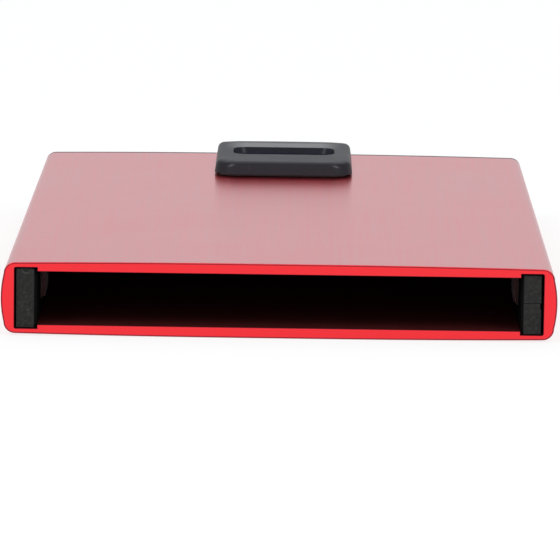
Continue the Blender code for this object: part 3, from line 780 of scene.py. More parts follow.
@dataclass(frozen=True)
class Steel(Finish):
    """Drawn or blackened steel with fine turning marks."""

    roughness: float
    gloss_sway: float = 0.25
    shades: Span = (0.8, 1.15)
    patch_scale: float = 0.7
    drawn_scale: float = 9.0
    bump: float = 0.2
    relief: float = 0.004 * MM

    def inputs(self, nodes: Nodes) -> dict[str, Any]:
        """Patches change the colour, and a finer noise changes the gloss and the relief.

        Args:
            nodes: the material's tree.

        Returns:
            What feeds the shader, by the names of its inputs.
        """
        place = nodes.object_place()
        drawn = nodes.noise(place, self.drawn_scale, detail=4.0)
        return {
            "Base Color": self.blend(nodes, nodes.noise(place, self.patch_scale), *self.shades),
            "Roughness": nodes.sway(drawn, self.roughness, self.gloss_sway),
            "Normal": nodes.bump(drawn, self.bump, self.relief),
            "Metallic": 1.0,
        }


@dataclass(frozen=True)
class Felt(Finish):
    """Pressed felt: matted fibres that run every way, with a soft sheen."""

    roughness: float = 0.95
    sheen: float = 0.12
    sheen_roughness: float = 0.5
    shades: Span = (0.5, 1.6)
    swirl_scale: float = 2.0
    fibre_scale: float = 16.0
    bump: float = 0.8
    relief: float = 0.04 * MM

    def inputs(self, nodes: Nodes) -> dict[str, Any]:
        """A fine noise at swirling places gives the fibres.

        Args:
            nodes: the material's tree.

        Returns:
            What feeds the shader, by the names of its inputs.
        """
        place = nodes.bent_place(nodes.object_place(), self.swirl_scale, detail=2.0)
        fibres = nodes.noise(place, self.fibre_scale, detail=6.0, roughness=0.75)
        return {
            "Base Color": self.blend(nodes, fibres, *self.shades),
            "Normal": nodes.bump(fibres, self.bump, self.relief),
            "Roughness": self.roughness,
            "Sheen Weight": self.sheen,
            "Sheen Roughness": self.sheen_roughness,
        }


@dataclass(frozen=True)
class Film(Finish):
    """A thin slippery film with a faint haze."""

    roughness: float = 0.5
    gloss_sway: float = 0.2
    shades: Span = (0.85, 1.15)
    haze_scale: float = 0.8

    def inputs(self, nodes: Nodes) -> dict[str, Any]:
        """A cloudy noise gives the haze, which changes the colour and the gloss.

        Args:
            nodes: the material's tree.

        Returns:
            What feeds the shader, by the names of its inputs.
        """
        haze = nodes.noise(nodes.object_place(), self.haze_scale, detail=5.0)
        gloss = nodes.sway(haze, self.roughness, self.gloss_sway)
        return {"Base Color": self.blend(nodes, haze, *self.shades), "Roughness": gloss}


class Coat(Enum):
    """The finishes of the holder. Some are darker or lighter copies of another finish that paint in shade or
    light: painted shade on the mouth's rim and inside the tube, painted light in the pad's recess, on the
    rails' round marks and on the lifter.
    """

    BRUSHED = Anodised("red_brushed", (0.88, 0.036, 0.056), 0.30, 0.07, 0.14, coat=0.66)
    CUT_END = Anodised(
        "red_cut_end", (0.93, 0.034, 0.045), 0.30, 0.03, 0.05, coat=0.2, broad_width=2.0, length=2.0
    )
    # painted shade: a dark red copy of the anodised finish on the mouth's rim rounding, standing in for the
    # contact shadow and dark sides that the rounding reflects
    RIM = Anodised(
        "red_rim_edge", (0.33, 0.016, 0.030), 0.34, 0.08, 0.08, coat=0.2, broad_width=2.0, length=2.0
    )
    # painted shade: a much darker copy of the red anodised finish on the bay's and channels' walls, standing
    # in for the shade inside the tube
    INSIDE = Anodised(
        "red_inside", (0.075, 0.014, 0.014), 0.85, 0.08, 0.15, 0.0, edge_tint=(0.7, 0.4, 0.4), broad_width=1.4
    )
    PAD = Moulded("pad_plastic", (0.0078, 0.0072, 0.0120), 0.5, 0.05, 0.200, 0.27, 2.0, polish=0.48)
    # painted light: a lighter copy of the pad plastic in the thumb recess, standing in for light in the
    # recess
    RECESS = Moulded("pad_recess", (0.0125, 0.0125, 0.021), 0.55, 0.05, 0.10, 0.22, 1.9)
    CAP = Moulded("cap_plastic", (0.013, 0.012, 0.023), 0.45)
    RAIL = Moulded("rail_plastic_fine", (0.009, 0.0092, 0.009), 0.42, specular=0.10)
    RAIL_END = Moulded("rail_plastic_end", (0.0106, 0.0104, 0.0098), 0.5, specular=0.18, specks=1.0)
    # painted highlight: a far lighter copy of the rail plastic on the round marks' slopes, standing in for
    # the glint that the gate and pin marks catch
    RAIL_MARK = Moulded("rail_plastic_edge", (0.042, 0.041, 0.039), 0.36, specular=0.4)
    # painted light: the lifter's grey is raised so that it reads lighter where it sits in the shade at the
    # far end of the bay
    LIFTER = Moulded("lifter_plastic_fine", (0.040, 0.040, 0.042), 0.5, specular=0.3)
    BRIGHT = Steel("bright_steel_fine", (0.62, 0.61, 0.60), 0.28)
    BLACK = Steel("black_steel_fine", (0.09, 0.09, 0.10), 0.38)
    FELT = Felt("felt_fine", (0.100, 0.036, 0.038))
    FLOCK = Felt("shoe_flock", (0.082, 0.026, 0.028))
    FILM = Film("glide_film_fine", (0.030, 0.030, 0.033))


@dataclass
class CaseSection:
    """The outer form that the shell and the end cap share: crowned faces, round corners, bulging sides."""

    corner_radius: float = 1.3 * MM
    crown_flat: float = 10.0 * MM
    crown_rise: float = 0.2 * MM
    side_rise: float = 0.32 * MM
    crown_steps: int = 9
    side_steps: int = 5

    def __post_init__(self) -> None:
        """Reads the outer sizes from the frame, and works out where the crown and the bulge start."""
        low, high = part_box("case_shell")
        self.mouth, self.tail = low[1], high[1]
        self.middle = (high[2] + low[2]) / 2
        self.flank = high[0] - self.side_rise
        self.roof = (high[2] - low[2]) / 2 - self.crown_rise
        self.flat, self.edge = self.crown_flat / 2, self.flank - self.corner_radius
        self.reach_up = self.roof - self.corner_radius

    def bar(self, name: str, front: float, back: float) -> Workpiece:
        """A solid bar of the case's outer section.

        Args:
            name: the object's name.
            front: the place of its front along Y.
            back: the place of its back along Y.

        Returns:
            The new workpiece.
        """
        bar = Workpiece.block(name, spread(0, self.flank), (front, back), spread(self.middle, self.roof))
        bar.bevel(along(Axis.Y), self.corner_radius, segments=7)
        for step in range(1 - self.side_steps, self.side_steps):
            bar.slice(Axis.Z, self.middle + step / self.side_steps * self.reach_up)
        for step in range(self.crown_steps):
            place = self.flat + step / self.crown_steps * (self.edge - self.flat)
            bar.slice(Axis.X, -place, place)
        return bar.drift(self._on_flank, self._bulge).drift(self._on_face, self._crown)

    def _on_flank(self, vert: Any) -> bool:
        """Whether a vertex is on the upright part of a side."""
        low_enough = abs(vert.co.z - self.middle) < self.reach_up + TOUCH
        return low_enough and abs(vert.co.x) > self.flank - TOUCH

    def _on_face(self, vert: Any) -> bool:
        """Whether a vertex is on the level part of the top or the underside."""
        return abs(vert.co.x) < self.edge + TOUCH and abs(vert.co.z - self.middle) > self.roof - TOUCH

    def _bulge(self, place: Vector) -> Place:
        """How far a place on a side moves out."""
        share = (place.z - self.middle) / self.reach_up
        return (math.copysign(self.side_rise * (1 - share**2), place.x), 0, 0)

    def _crown(self, place: Vector) -> Place:
        """How far a place on the top or the underside moves out."""
        share = max(0.0, (abs(place.x) - self.flat) / (self.edge - self.flat))
        return (0, 0, math.copysign(self.crown_rise * (1 - share**2), place.z - self.middle))


@dataclass
class CaseShell(CaseSection):
    """The extruded case with its card bay, side channels and stem slot."""

    bay_half_width: float = 27.35 * MM
    bay_height: float = 6.09 * MM
    channel_half_height: float = 3.495 * MM
    channel_side: float = 29.97 * MM
    channel_corner: float = 0.18 * MM
    slot_width: float = 8.0 * MM
    slot_corner: float = 1.2 * MM
    slot_front: float = 27.5 * MM
    slot_reach: float = 3.0
    rim_round: float = 0.18 * MM
    inner_round: float = 0.06 * MM
    tail_round: float = 0.06 * MM
    end_facing: float = 0.6
    wall_facing: float = 0.3
    # limits of the rim's painted shade: how far a face may point along Y, and how far up before it stays
    # bright
    rim_facing: float = 0.99
    rim_rise: float = 0.35

    def build(self) -> None:
        """Models the shell and dresses it."""
        shell = self.bar("red_case", self.mouth, self.tail)
        shell.cut(self._passage("bay", spread(0, self.bay_half_width), self.bay_height / 2))
        for side in Side:
            inner, outer = side.value * self.bay_half_width, side.value * self.channel_side
            channel = self._passage("channel", (inner, outer), self.channel_half_height)
            shell.cut(channel.bevel(both(along(Axis.Y), at(Axis.X, outer)), self.channel_corner))
        length, height = (self.slot_front, self.tail + OVERRUN), (self.middle, self.slot_reach * self.middle)
        slot = Workpiece.block("slot", spread(0, self.slot_width / 2), length, height)
        shell.cut(slot.bevel(both(along(Axis.Z), at(Axis.Y, self.slot_front)), self.slot_corner, segments=8))
        shell.bevel(both(rim_at(self.mouth), self._outer), self.rim_round)
        shell.bevel(both(rim_at(self.mouth), self._inner), self.inner_round)
        shell.bevel(rim_at(self.tail), self.tail_round, segments=1)
        shell.paint(
            (Coat.BRUSHED, anything),
            (Coat.CUT_END, lambda face: abs(face.normal.y) > self.end_facing),
            # painted shade inside the tube and on the rim's lower, side and inner rounding
            (Coat.INSIDE, self._inner_wall),
            (Coat.RIM, self._rim_edge),
        ).hand_in("case", "anodised_red", "case_shell")

    def _passage(self, name: str, x: Span, half_height: float) -> Workpiece:
        """The cutter for a passage that runs from the mouth to the closed end."""
        length = (self.mouth - OVERRUN, self.tail + OVERRUN)
        return Workpiece.block(name, x, length, spread(self.middle, half_height))

    def _outside(self, place: Vector, margin: float = TOUCH) -> bool:
        """Whether a place lies beyond the bay and the channels by more than a margin."""
        beside = abs(place.x) > self.channel_side + margin
        return beside or abs(place.z - self.middle) > self.channel_half_height + margin

    def _outer(self, item: Any) -> bool:
        """Whether an item lies on the case's outside."""
        return all(self._outside(place) for place in places(item))

    def _inner(self, item: Any) -> bool:
        """Whether an item lies on the bay's or a channel's wall."""
        return not self._outer(item)

    def _inner_wall(self, face: Any) -> bool:
        """Whether a face gets the inside's painted shade: on the bay's or a channel's wall, pointing
        sideways, up or down.
        """
        return not self._outside(face.center) and abs(face.normal.y) < self.wall_facing

    def _rim_edge(self, face: Any) -> bool:
        """Whether a face gets the rim's painted shade: on the rounding of the mouth's rim, inside or where it
        doesn't point up.
        """
        near = face.center.y < self.mouth + self.rim_round and abs(face.normal.y) < self.rim_facing
        return near and (not self._outside(face.center, self.inner_round) or face.normal.z < self.rim_rise)


@dataclass
class SidePiece:
    """A piece that stands on one side of the holder, with the sizes that such pieces share."""

    side: Side
    face: float = 27.45 * MM
    rod_radius: float = 0.42 * MM
    rod_place: Span = (28.35 * MM, 2.23 * MM)
    screw_place: Span = (28.65 * MM, 5.415 * MM)
    screw_head: Span = (50.3 * MM, 50.9 * MM)
    shoe_middle: float = -35.5 * MM

    def __post_init__(self) -> None:
        """Reads the rail's ends and height from the frame."""
        low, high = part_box(f"{self.side.label}_guide_rail")
        self.front, self.tail = low[1], high[1]
        self.bottom, self.top = low[2], high[2]
        self.back = max(abs(low[0]), abs(high[0]))
        self.middle = (self.bottom + self.top) / 2
        self.centre = (0, self.shoe_middle, self.middle)
        self.label, self.sign = self.side.label, self.side.value

    def slab(self, name: str, x: Span, y: Span, z: Span) -> Workpiece:
        """A block between two distances from the middle plane, two places along Y and two heights."""
        return Workpiece.block(name, (self.sign * x[0], self.sign * x[1]), y, z)

    def at(self, distance: float) -> Chooser:
        """Chooses what lies wholly at one distance from the middle plane, on this side."""
        return at(Axis.X, self.sign * distance)

    def beside(self, half_length: float, half_height: float) -> tuple[Span, Span]:
        """The spans along Y and Z of something centred on the shoe."""
        return spread(self.shoe_middle, half_length), spread(self.middle, half_height)

    def hole(self, place: Span, radius: float, front: float, back: float) -> Workpiece:
        """The cutter for a round hole along Y at a distance from the middle plane and a height."""
        return Workpiece.rod("hole", (self.sign * place[0], front, place[1]), Axis.Y, back - front, radius)

    def turned(self, name: str, place: Span, stations: tuple[Span, ...]) -> Workpiece:
        """A turned piece along Y at a distance from the middle plane and a height."""
        return Workpiece.turned(name, (self.sign * place[0], 0, place[1]), stations)


@dataclass
class GuideRail(SidePiece):
    """A moulded rail in one side channel, with its shoe window, spring groove and card stop."""

    lead_in_width: Span = (0.25 * MM, 0.215 * MM)
    lead_in_length: float = 0.9 * MM
    side_play: Span = (0.07 * MM, 0.14 * MM)
    sag: float = 0.055 * MM
    window_lip: float = 0.7 * MM
    stop_reach: float = 4.25 * MM
    stop_front: float = 35.6 * MM
    stop_length: float = 2.0 * MM
    stop_height: Span = (3.26 * MM, 7.16 * MM)
    stop_corner: float = 0.4 * MM
    groove_depth: float = 1.8 * MM
    groove_height: Span = (1.33 * MM, 3.13 * MM)
    groove_front: float = 8.3 * MM
    rod_hold: float = 1.58 * MM
    screw_tip: float = 45.3 * MM
    screw_radius: float = 0.6 * MM
    window: Span = (6.25 * MM, 1.8 * MM)
    pocket: Span = (7.75 * MM, 2.15 * MM)
    edge_radius: float = 0.07 * MM
    mark_depth: float = 0.12 * MM
    mark_facing: float = 0.3
    gate_mark: Span = (28.6 * MM, 0.6 * MM)
    pin_mark: Span = (28.42 * MM, 0.13 * MM)
    pin_drop: float = 1.33 * MM
    parting_rise: float = 0.12 * MM
    parting_width: float = 0.035 * MM
    nick: Span = (0.16 * MM, 0.62 * MM)
    nick_depth: float = 1.0 * MM

    def build(self) -> None:
        """Models the rail and dresses it."""
        outer = self.back - self.side.pick(self.side_play)
        height = (self.bottom - self.sag, self.top - self.sag)
        rail = self.slab(f"{self.label}_rail", (self.face, outer), (self.front, self.tail), height)
        rail.slice(Axis.Y, self.front + self.lead_in_length)
        inward = self.sign * self.side.pick(self.lead_in_width)
        rail.move(both(at(Axis.Y, self.front), self.at(self.face)), (inward, 0, 0))
        reach, lip, past = self.face - self.stop_reach, self.face + self.window_lip, self.tail + OVERRUN
        length = (self.stop_front, self.stop_front + self.stop_length)
        stop = self.slab("stop", (reach, lip), length, self.stop_height)
        rail.join(stop.bevel(both(along(Axis.Z), self.at(reach)), self.stop_corner))
        inside, groove = self.face - OVERRUN, self.groove_front
        for name, x, (y, z) in (
            ("groove", (inside, self.face + self.groove_depth), ((groove, past), self.groove_height)),
            ("window", (inside, self.back - OVERRUN), self.beside(*self.window)),
            ("pocket", (lip, self.back + OVERRUN), self.beside(*self.pocket)),
        ):
            rail.cut(self.slab(name, x, y, z))
        rail.cut(self.hole(self.rod_place, self.rod_radius, groove - self.rod_hold, groove + OVERRUN))
        rail.cut(self.hole(self.screw_place, self.screw_radius, self.screw_tip, past))
        rail.bevel(sharp(), self.edge_radius, segments=2)
        for mark in self._mould_marks(outer):
            rail.cut(mark)
        # the round marks' slopes get a painted highlight
        rail.paint(
            (Coat.RAIL, anything), (Coat.RAIL_END, self._front_face), (Coat.RAIL_MARK, self._mark_slope)
        ).hand_in("case", "rail_plastic", f"{self.label}_guide_rail")

    def _mould_marks(self, outer: float) -> list[Workpiece]:
        """The cutters for the front's marks: a gate and a pin on the left, a parting line on the right.

        Args:
            outer: the distance of the rail's outer side from the holder's middle plane.

        Returns:
            The cutters.
        """
        start, bottom, depth = self.front - OVERRUN, self.front + self.mark_depth, self.mark_depth
        if self.side is Side.LEFT:
            return [
                self.turned("mark", (x, z), ((start, radius), (self.front, radius), (bottom, radius - depth)))
                for (x, radius), z in self._round_marks()
            ]
        line, (nick_width, nick_height) = self.middle + self.parting_rise, self.nick
        return [
            self.slab("mark", (inner, outer + OVERRUN), (start, self.front + deep), z)
            for inner, deep, z in (
                (self.face, 2 * depth, spread(line, self.parting_width)),
                (outer - nick_width, self.nick_depth, (line - nick_height, line)),
            )
        ]

    def _round_marks(self) -> tuple[tuple[Span, float], ...]:
        """The place and radius of each round mark, and its height."""
        return (self.gate_mark, self.top - self.sag), (self.pin_mark, self.middle - self.pin_drop)

    def _front_face(self, face: Any) -> bool:
        """Whether a face is on the rail's cut front."""
        return face.normal.y < -SQUARE_ON and face.center.y < self.front + self.lead_in_length

    def _mark_slope(self, face: Any) -> bool:
        """Whether a face is on the slope of a round mark, which gets a painted highlight.

        Args:
            face: a face of the rail.

        Returns:
            Whether it is.
        """
        x, y, z = face.center
        deep = TOUCH < y - self.front < self.mark_depth - TOUCH and abs(face.normal.y) > self.mark_facing
        near = [math.hypot(-x - place, z - high) < radius for (place, radius), high in self._round_marks()]
        return deep and any(near)


@dataclass
class GripShoe(SidePiece):
    """A sprung shoe in a rail's window, with a flocked nose and a strip of felt on it."""

    nose_base: Span = (4.7 * MM, 1.7 * MM)
    nose_face_share: float = 4.5 / 4.7
    nose_proud: float = 0.12 * MM
    flange: Span = (7.65 * MM, 2.05 * MM)
    flange_span: Span = (28.23 * MM, 28.78 * MM)
    felt: Span = (3.9 * MM, 1.5 * MM)
    felt_span: Span = (27.0 * MM, 27.3 * MM)
    felt_round: float = 0.1 * MM
    felt_roughness: float = 0.012 * MM
    edge_radius: float = 0.08 * MM

    def build(self) -> None:
        """Models the shoe and its felt and dresses them."""
        body = f"{self.label}_shoe"
        shoe = self.slab(body, (self.face, self.flange_span[1]), *self.beside(*self.nose_base))
        shoe.extrude(self.at(self.face), (-self.sign * self.nose_proud, 0, 0))
        shoe.widen(self.at(self.face - self.nose_proud), (1, self.nose_face_share, 1), self.centre)
        shoe.join(self.slab("flange", self.flange_span, *self.beside(*self.flange)))
        shoe.bevel(sharp(20), self.edge_radius, segments=2)
        shoe.paint((Coat.RAIL, anything), (Coat.FLOCK, lambda face: abs(face.center.x) < self.face))
        self._felt()
        shoe.hand_in(body, "rail_plastic", f"{self.label}_grip_shoe")

    def _felt(self) -> None:
        """The felt strip: a slab with sloped ends, a soft rim and an uneven nap."""
        near, far = self.felt_span
        strip = self.slab(f"{self.label}_felt", self.felt_span, *self.beside(*self.felt))
        strip.widen(self.at(near), (1, 1 - (far - near) / self.felt[0], 1), self.centre)
        strip.bevel(self.at(near), self.felt_round)
        strip.shape(Part.FACE, anything, bpy.ops.mesh.subdivide, number_cuts=5)
        nap = both(beyond(Axis.X, self.sign * near, self.sign), lambda vert: abs(vert.co.x) < far - TOUCH)
        strip.shape(Part.VERT, nap, bpy.ops.transform.vertex_random, offset=self.felt_roughness, seed=7)
        strip.paint((Coat.FELT, anything), weighted=False)
        strip.hand_in(f"{self.label}_shoe", "grey_felt", f"{self.label}_felt_strip")


@dataclass
class ThumbSlide:
    """The black pad with its thumb recess, on a stem that runs through the slot."""

    corner_radius: float = 2.8 * MM
    corner_droop: float = 0.25 * MM
    droop_steps: int = 5
    side_play: float = 0.10 * MM
    edge_radius: float = 0.7 * MM
    draft: float = 0.22 * MM
    fall: float = 0.22 * MM
    fall_length: float = 6.3 * MM
    fall_steps: int = 9
    rear_bow: float = 0.9 * MM
    bow_steps: int = 5
    recess_width: float = 13.0 * MM
    recess_length: float = 7.55 * MM
    recess_depth: float = 0.8 * MM
    recess_slope: float = 0.17 * MM
    recess_corner: float = 1.9 * MM
    recess_rear_margin: float = 8.55 * MM
    recess_lip: float = 0.12 * MM
    wall_facing: float = 0.7
    stem_half_width: float = 3.85 * MM
    stem_span: Span = (44.9 * MM, 47.8 * MM)
    stem_corner: float = 1.05 * MM
    pad_bottom: float = 8.89 * MM
    screw_place: Span = (2.4 * MM, 46.5 * MM)
    screw_radius: float = 0.6 * MM
    screw_end: float = 9.89 * MM

    def __post_init__(self) -> None:
        """Reads the pad's outline from the frame, and works out where its corners and its recess are."""
        low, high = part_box("thumb_slide")
        self.half_width = high[0]
        self.front, self.tail = low[1], high[1]
        self.stem_bottom, self.top = low[2], high[2]
        self.flank = self.half_width - self.corner_radius
        self.toe, self.heel = self.front + self.corner_radius, self.tail - self.corner_radius
        self.fall_start = self.tail - self.fall_length
        self.recess_rear = self.tail - self.recess_rear_margin
        self.recess_front = self.recess_rear - self.recess_length
        self.recess_floor = self.top - self.recess_depth

    def build(self) -> None:
        """Models the pad and dresses it."""
        pad = self._cushion()
        pad.cut(self._recess())
        pad.bevel(self._recess_rim, self.recess_lip)
        pad.move(anything, (self.side_play, 0, 0))
        height = (self.stem_bottom, (self.pad_bottom + self.top) / 2)
        stem = Workpiece.block("stem", spread(0, self.stem_half_width), self.stem_span, height)
        pad.join(stem.bevel(along(Axis.Z), self.stem_corner, segments=6))
        (x, y), z = self.screw_place, self.stem_bottom - OVERRUN
        for side in Side:
            place = (side.value * x, y, z)
            pad.cut(Workpiece.rod("pilot", place, Axis.Z, self.screw_end - z, self.screw_radius))
        # the recess's faces get the painted light
        pad.paint((Coat.PAD, anything), (Coat.RECESS, self._sunk))
        pad.hand_in("slider", "black_plastic", "thumb_slide")

    def _cushion(self) -> Workpiece:
        """The pad's rounded form, with a bowed rear and a top that falls away to the rear and the corners.

        Returns:
            The pad without its recess.
        """
        length, height = (self.front, self.tail), (self.pad_bottom, self.top)
        pad = Workpiece.block("thumb_pad", spread(0, self.half_width), length, height)
        pad.bevel(along(Axis.Z), self.corner_radius, segments=10)
        for step in range(1 - self.bow_steps, self.bow_steps):
            pad.slice(Axis.X, self.flank * step / self.bow_steps)
        pad.drift(beyond(Axis.Y, self.heel), self._bowed)
        shrink = (1 - self.draft / self.half_width, 1 - 2 * self.draft / (self.tail - self.front), 1)
        pad.widen(at(Axis.Z, self.top), shrink, (0, (self.front + self.tail) / 2, self.top))
        pad.bevel(both(at(Axis.Z, self.top), sharp(40)), self.edge_radius, segments=6)
        for step in range(self.fall_steps):
            pad.slice(Axis.Y, self.fall_start + self.fall_length * step / self.fall_steps)
        pad.drift(beyond(Axis.Y, self.fall_start), self._fallen)
        for step in range(self.droop_steps):
            share = step / self.droop_steps * self.corner_radius
            pad.slice(Axis.X, self.flank + share, -self.flank - share)
            pad.slice(Axis.Y, self.toe - share, self.heel + share)
        return pad.drift(anything, self._drooped)

    def _raised(self, place: Vector) -> float:
        """How high in the pad a place is, as a share of the pad's height."""
        return (place.z - self.pad_bottom) / (self.top - self.pad_bottom)

    def _bowed(self, place: Vector) -> Place:
        """How a place at the rear comes forward, the more the nearer it is to a corner."""
        share = (place.y - self.heel) / self.corner_radius
        return (0, -self.rear_bow * (place.x / self.half_width) ** 2 * share, 0)

    def _fallen(self, place: Vector) -> Place:
        """How a place sinks as the top falls away towards the closed end."""
        share = (place.y - self.fall_start) / self.fall_length
        return (0, 0, -self.fall * share**2 * self._raised(place))

    def _drooped(self, place: Vector) -> Place:
        """How a place near a corner sinks, at the middle of the corner's rounding by the whole droop."""
        area = max(0.0, abs(place.x) - self.flank) * max(0.0, self.toe - place.y, place.y - self.heel)
        return (0, 0, -self.corner_droop * (2 * area / self.corner_radius**2) ** 2 * self._raised(place))

    def _in_recess(self, place: Vector, margin: float = 0.0) -> bool:
        """Whether a place lies in the recess's outline, with a margin around it."""
        across = abs(place.x) < self.recess_width / 2 + margin
        return across and self.recess_front - margin < place.y < self.recess_rear + margin

    def _on_rim(self, place: Vector) -> bool:
        """Whether a place lies on the recess's rim or on the upper half of its walls."""
        return place.z > self.top - self.recess_depth / 2 and self._in_recess(place, TOUCH)

    def _recess_rim(self, edge: Any) -> bool:
        """Whether an edge is where the recess meets the pad's top."""
        walls = [face for face in edge.link_faces if abs(face.normal.z) < self.wall_facing]
        return sharp()(edge) and len(walls) == 1 and all(self._on_rim(place) for place in places(edge))

    def _sunk(self, face: Any) -> bool:
        """Whether a face lies inside the recess, below its lip, where the painted light goes."""
        low = self.recess_floor - TOUCH < face.center.z < self.top - self.recess_lip
        return low and self._in_recess(face.center)

    def _recess(self) -> Workpiece:
        """The cutter for the thumb recess, with sloping walls and a soft floor edge.

        Returns:
            The cutter.
        """
        half, floor, slope = self.recess_width / 2, self.recess_floor, self.recess_slope
        length = (self.recess_front, self.recess_rear)
        recess = Workpiece.block("recess", spread(0, half), length, (floor, self.top))
        recess.bevel(along(Axis.Z), self.recess_corner, segments=8)
        shrink = (1 - slope / half, 1 - 2 * slope / self.recess_length, 1)
        recess.widen(at(Axis.Z, floor), shrink, (0, (self.recess_front + self.recess_rear) / 2, floor))
        recess.extrude(at(Axis.Z, self.top), (0, 0, OVERRUN))
        return recess.bevel(both(at(Axis.Z, floor), sharp()), slope, segments=2)


@dataclass
class EndCap(CaseSection):
    """The black cap over the closed end, with a plug inside the tube and a tongue in the slot."""

    face_gap: float = 0.05 * MM
    flange: float = 1.0 * MM
    edge_radius: float = 0.25 * MM
    plug: Span = (27.0 * MM, 49.0 * MM)
    plug_height: Span = (1.37 * MM, 7.16 * MM)
    tongue: Span = (3.85 * MM, 47.95 * MM)
    tongue_height: Span = (7.31 * MM, 8.38 * MM)
    rod_end: float = 50.53 * MM
    shank_radius: float = 0.6 * MM
    head_radius: float = 1.2 * MM
    fine_edge: float = 0.05 * MM

    def build(self) -> None:
        """Models the cap and dresses it."""
        front = self.tail + self.face_gap
        back, past = front + self.flange, front - OVERRUN
        cap = self.bar("rear_cap", front, back)
        cap.bevel(rim_at(back), self.edge_radius, segments=4)
        for name, (half, start), height in (
            ("plug", self.plug, self.plug_height),
            ("tongue", self.tongue, self.tongue_height),
        ):
            lug = Workpiece.block(name, spread(0, half), (start, front + self.flange / 2), height)
            cap.join(lug.bevel(at(Axis.Y, start), self.fine_edge, segments=2))
        for piece in map(SidePiece, Side):
            cap.cut(piece.hole(piece.rod_place, piece.rod_radius, past, self.rod_end))
            (shoulder, top), shank, head = piece.screw_head, self.shank_radius, self.head_radius
            stations = ((past, shank), (shoulder, shank), (top, head), (back + OVERRUN, head))
            cap.cut(piece.turned("countersink", piece.screw_place, stations))
        cap.paint((Coat.CAP, anything)).hand_in("case", "black_plastic", "end_cap")


@dataclass
class CapScrew(SidePiece):
    """A countersunk screw through the cap into a rail, with a cross recess."""

    shank: float = 0.5 * MM
    head: float = 1.1 * MM
    tip: float = 45.4 * MM
    cross: Span = (0.65 * MM, 0.15 * MM)
    cross_depth: float = 0.3 * MM
    edge_radius: float = 0.03 * MM

    def build(self) -> None:
        """Models the screw and dresses it."""
        (x, z), (shoulder, top), shank = self.screw_place, self.screw_head, self.shank
        stations = ((self.tip, shank / 2), (self.tip + shank, shank), (shoulder, shank), (top, self.head))
        screw = self.turned(f"{self.label}_rear_screw", self.screw_place, stations)
        depth = (top - self.cross_depth, top + OVERRUN)
        for half_x, half_z in (self.cross, self.cross[::-1]):
            screw.cut(self.slab("arm", spread(x, half_x), depth, spread(z, half_z)))
        screw.bevel(sharp(35), self.edge_radius, segments=2)
        screw.paint((Coat.BLACK, anything), weighted=False)
        screw.hand_in("case", "black_steel", f"{self.label}_cap_screw")


@dataclass
class CardLifter:
    """The stepped block behind the cards, with a low beam whose ears run on the guide rods."""

    half_width: float = 22.7 * MM
    step_run: float = 1.9 * MM
    step_rise: float = 0.965 * MM
    steps: int = 6
    front: float = 35.6 * MM
    tail: float = 48.7 * MM
    beam_reach: float = 29.13 * MM
    beam_span: Span = (42.7 * MM, 48.5 * MM)
    beam_height: Span = (1.45 * MM, 3.01 * MM)
    cores: int = 2
    core_start: float = 6.0 * MM
    core_width: float = 7.15 * MM
    core_wall: float = 1.2 * MM
    core_front: float = 44.4 * MM
    core_height: Span = (2.57 * MM, 4.995 * MM)
    screw_place: Span = (2.4 * MM, 46.5 * MM)
    screw_seat: float = 3.37 * MM
    screw_head: float = 1.1 * MM
    screw_shank: float = 0.6 * MM
    edge_radius: float = 0.1 * MM

    def build(self) -> None:
        """Models the lifter and dresses it."""
        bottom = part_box("card_lifter")[0][2]
        length, height = (self.front, self.tail), (bottom, bottom + self.step_rise)
        lifter = Workpiece.block("stepped_lifter", spread(0, self.half_width), length, height)
        for step in range(1, self.steps):
            riser = self.front + step * self.step_run
            tread = at(Axis.Z, bottom + step * self.step_rise)
            lifter.slice(Axis.Y, riser)
            lifter.extrude(both(tread, beyond(Axis.Y, riser)), (0, 0, self.step_rise))
        lifter.clean()
        lifter.join(Workpiece.block("beam", spread(0, self.beam_reach), self.beam_span, self.beam_height))
        for side in Side:
            self._hollow(lifter, side, bottom)
        lifter.bevel(sharp(), self.edge_radius, segments=2)
        # the lifter's grey carries painted light
        lifter.paint((Coat.LIFTER, anything)).hand_in("slider", "lifter_plastic", "card_lifter")

    def _hollow(self, lifter: Workpiece, side: Side, bottom: float) -> None:
        """Cuts one side's cores, rod bore and screw hole.

        Args:
            lifter: the block to cut.
            side: the side of the holder.
            bottom: the height of the block's underside.
        """
        piece, back = SidePiece(side), self.tail + OVERRUN
        for number in range(self.cores):
            inner = self.core_start + number * (self.core_width + self.core_wall)
            span = (inner, inner + self.core_width)
            lifter.cut(piece.slab("core", span, (self.core_front, back), self.core_height))
        lifter.cut(piece.hole(piece.rod_place, piece.rod_radius, self.beam_span[0] - OVERRUN, back))
        x, y = self.screw_place
        for start, end, radius in (
            (bottom - OVERRUN, self.screw_seat, self.screw_head),
            (bottom, self.tail, self.screw_shank),
        ):
            lifter.cut(Workpiece.rod("screw_hole", (side.value * x, y, start), Axis.Z, end - start, radius))


def dress_node(node: str, coat: Coat) -> None:
    """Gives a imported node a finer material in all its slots.

    Args:
        node: the node's name.
        coat: the finish for it.
    """
    obj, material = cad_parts[node], coat.value.material()
    if not obj.material_slots:
        obj.data.materials.append(material)
    for slot in obj.material_slots:
        slot.material = material
    log.info("%s: dressed in %s", node, material.name)


@dataclass
class Mechanism:
    """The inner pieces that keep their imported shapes, because they stretch or hide."""

    sheet: str = "glide_sheet"
    bright: tuple[str, ...] = ("guide_rod", "return_spring", "leaf_spring")
    black: str = "slide_screw"

    def build(self) -> None:
        """Dresses every such node."""
        dress_node(self.sheet, Coat.FILM)
        for side in Side:
            for piece in self.bright:
                dress_node(f"{side.label}_{piece}", Coat.BRIGHT)
            dress_node(f"{side.label}_{self.black}", Coat.BLACK)


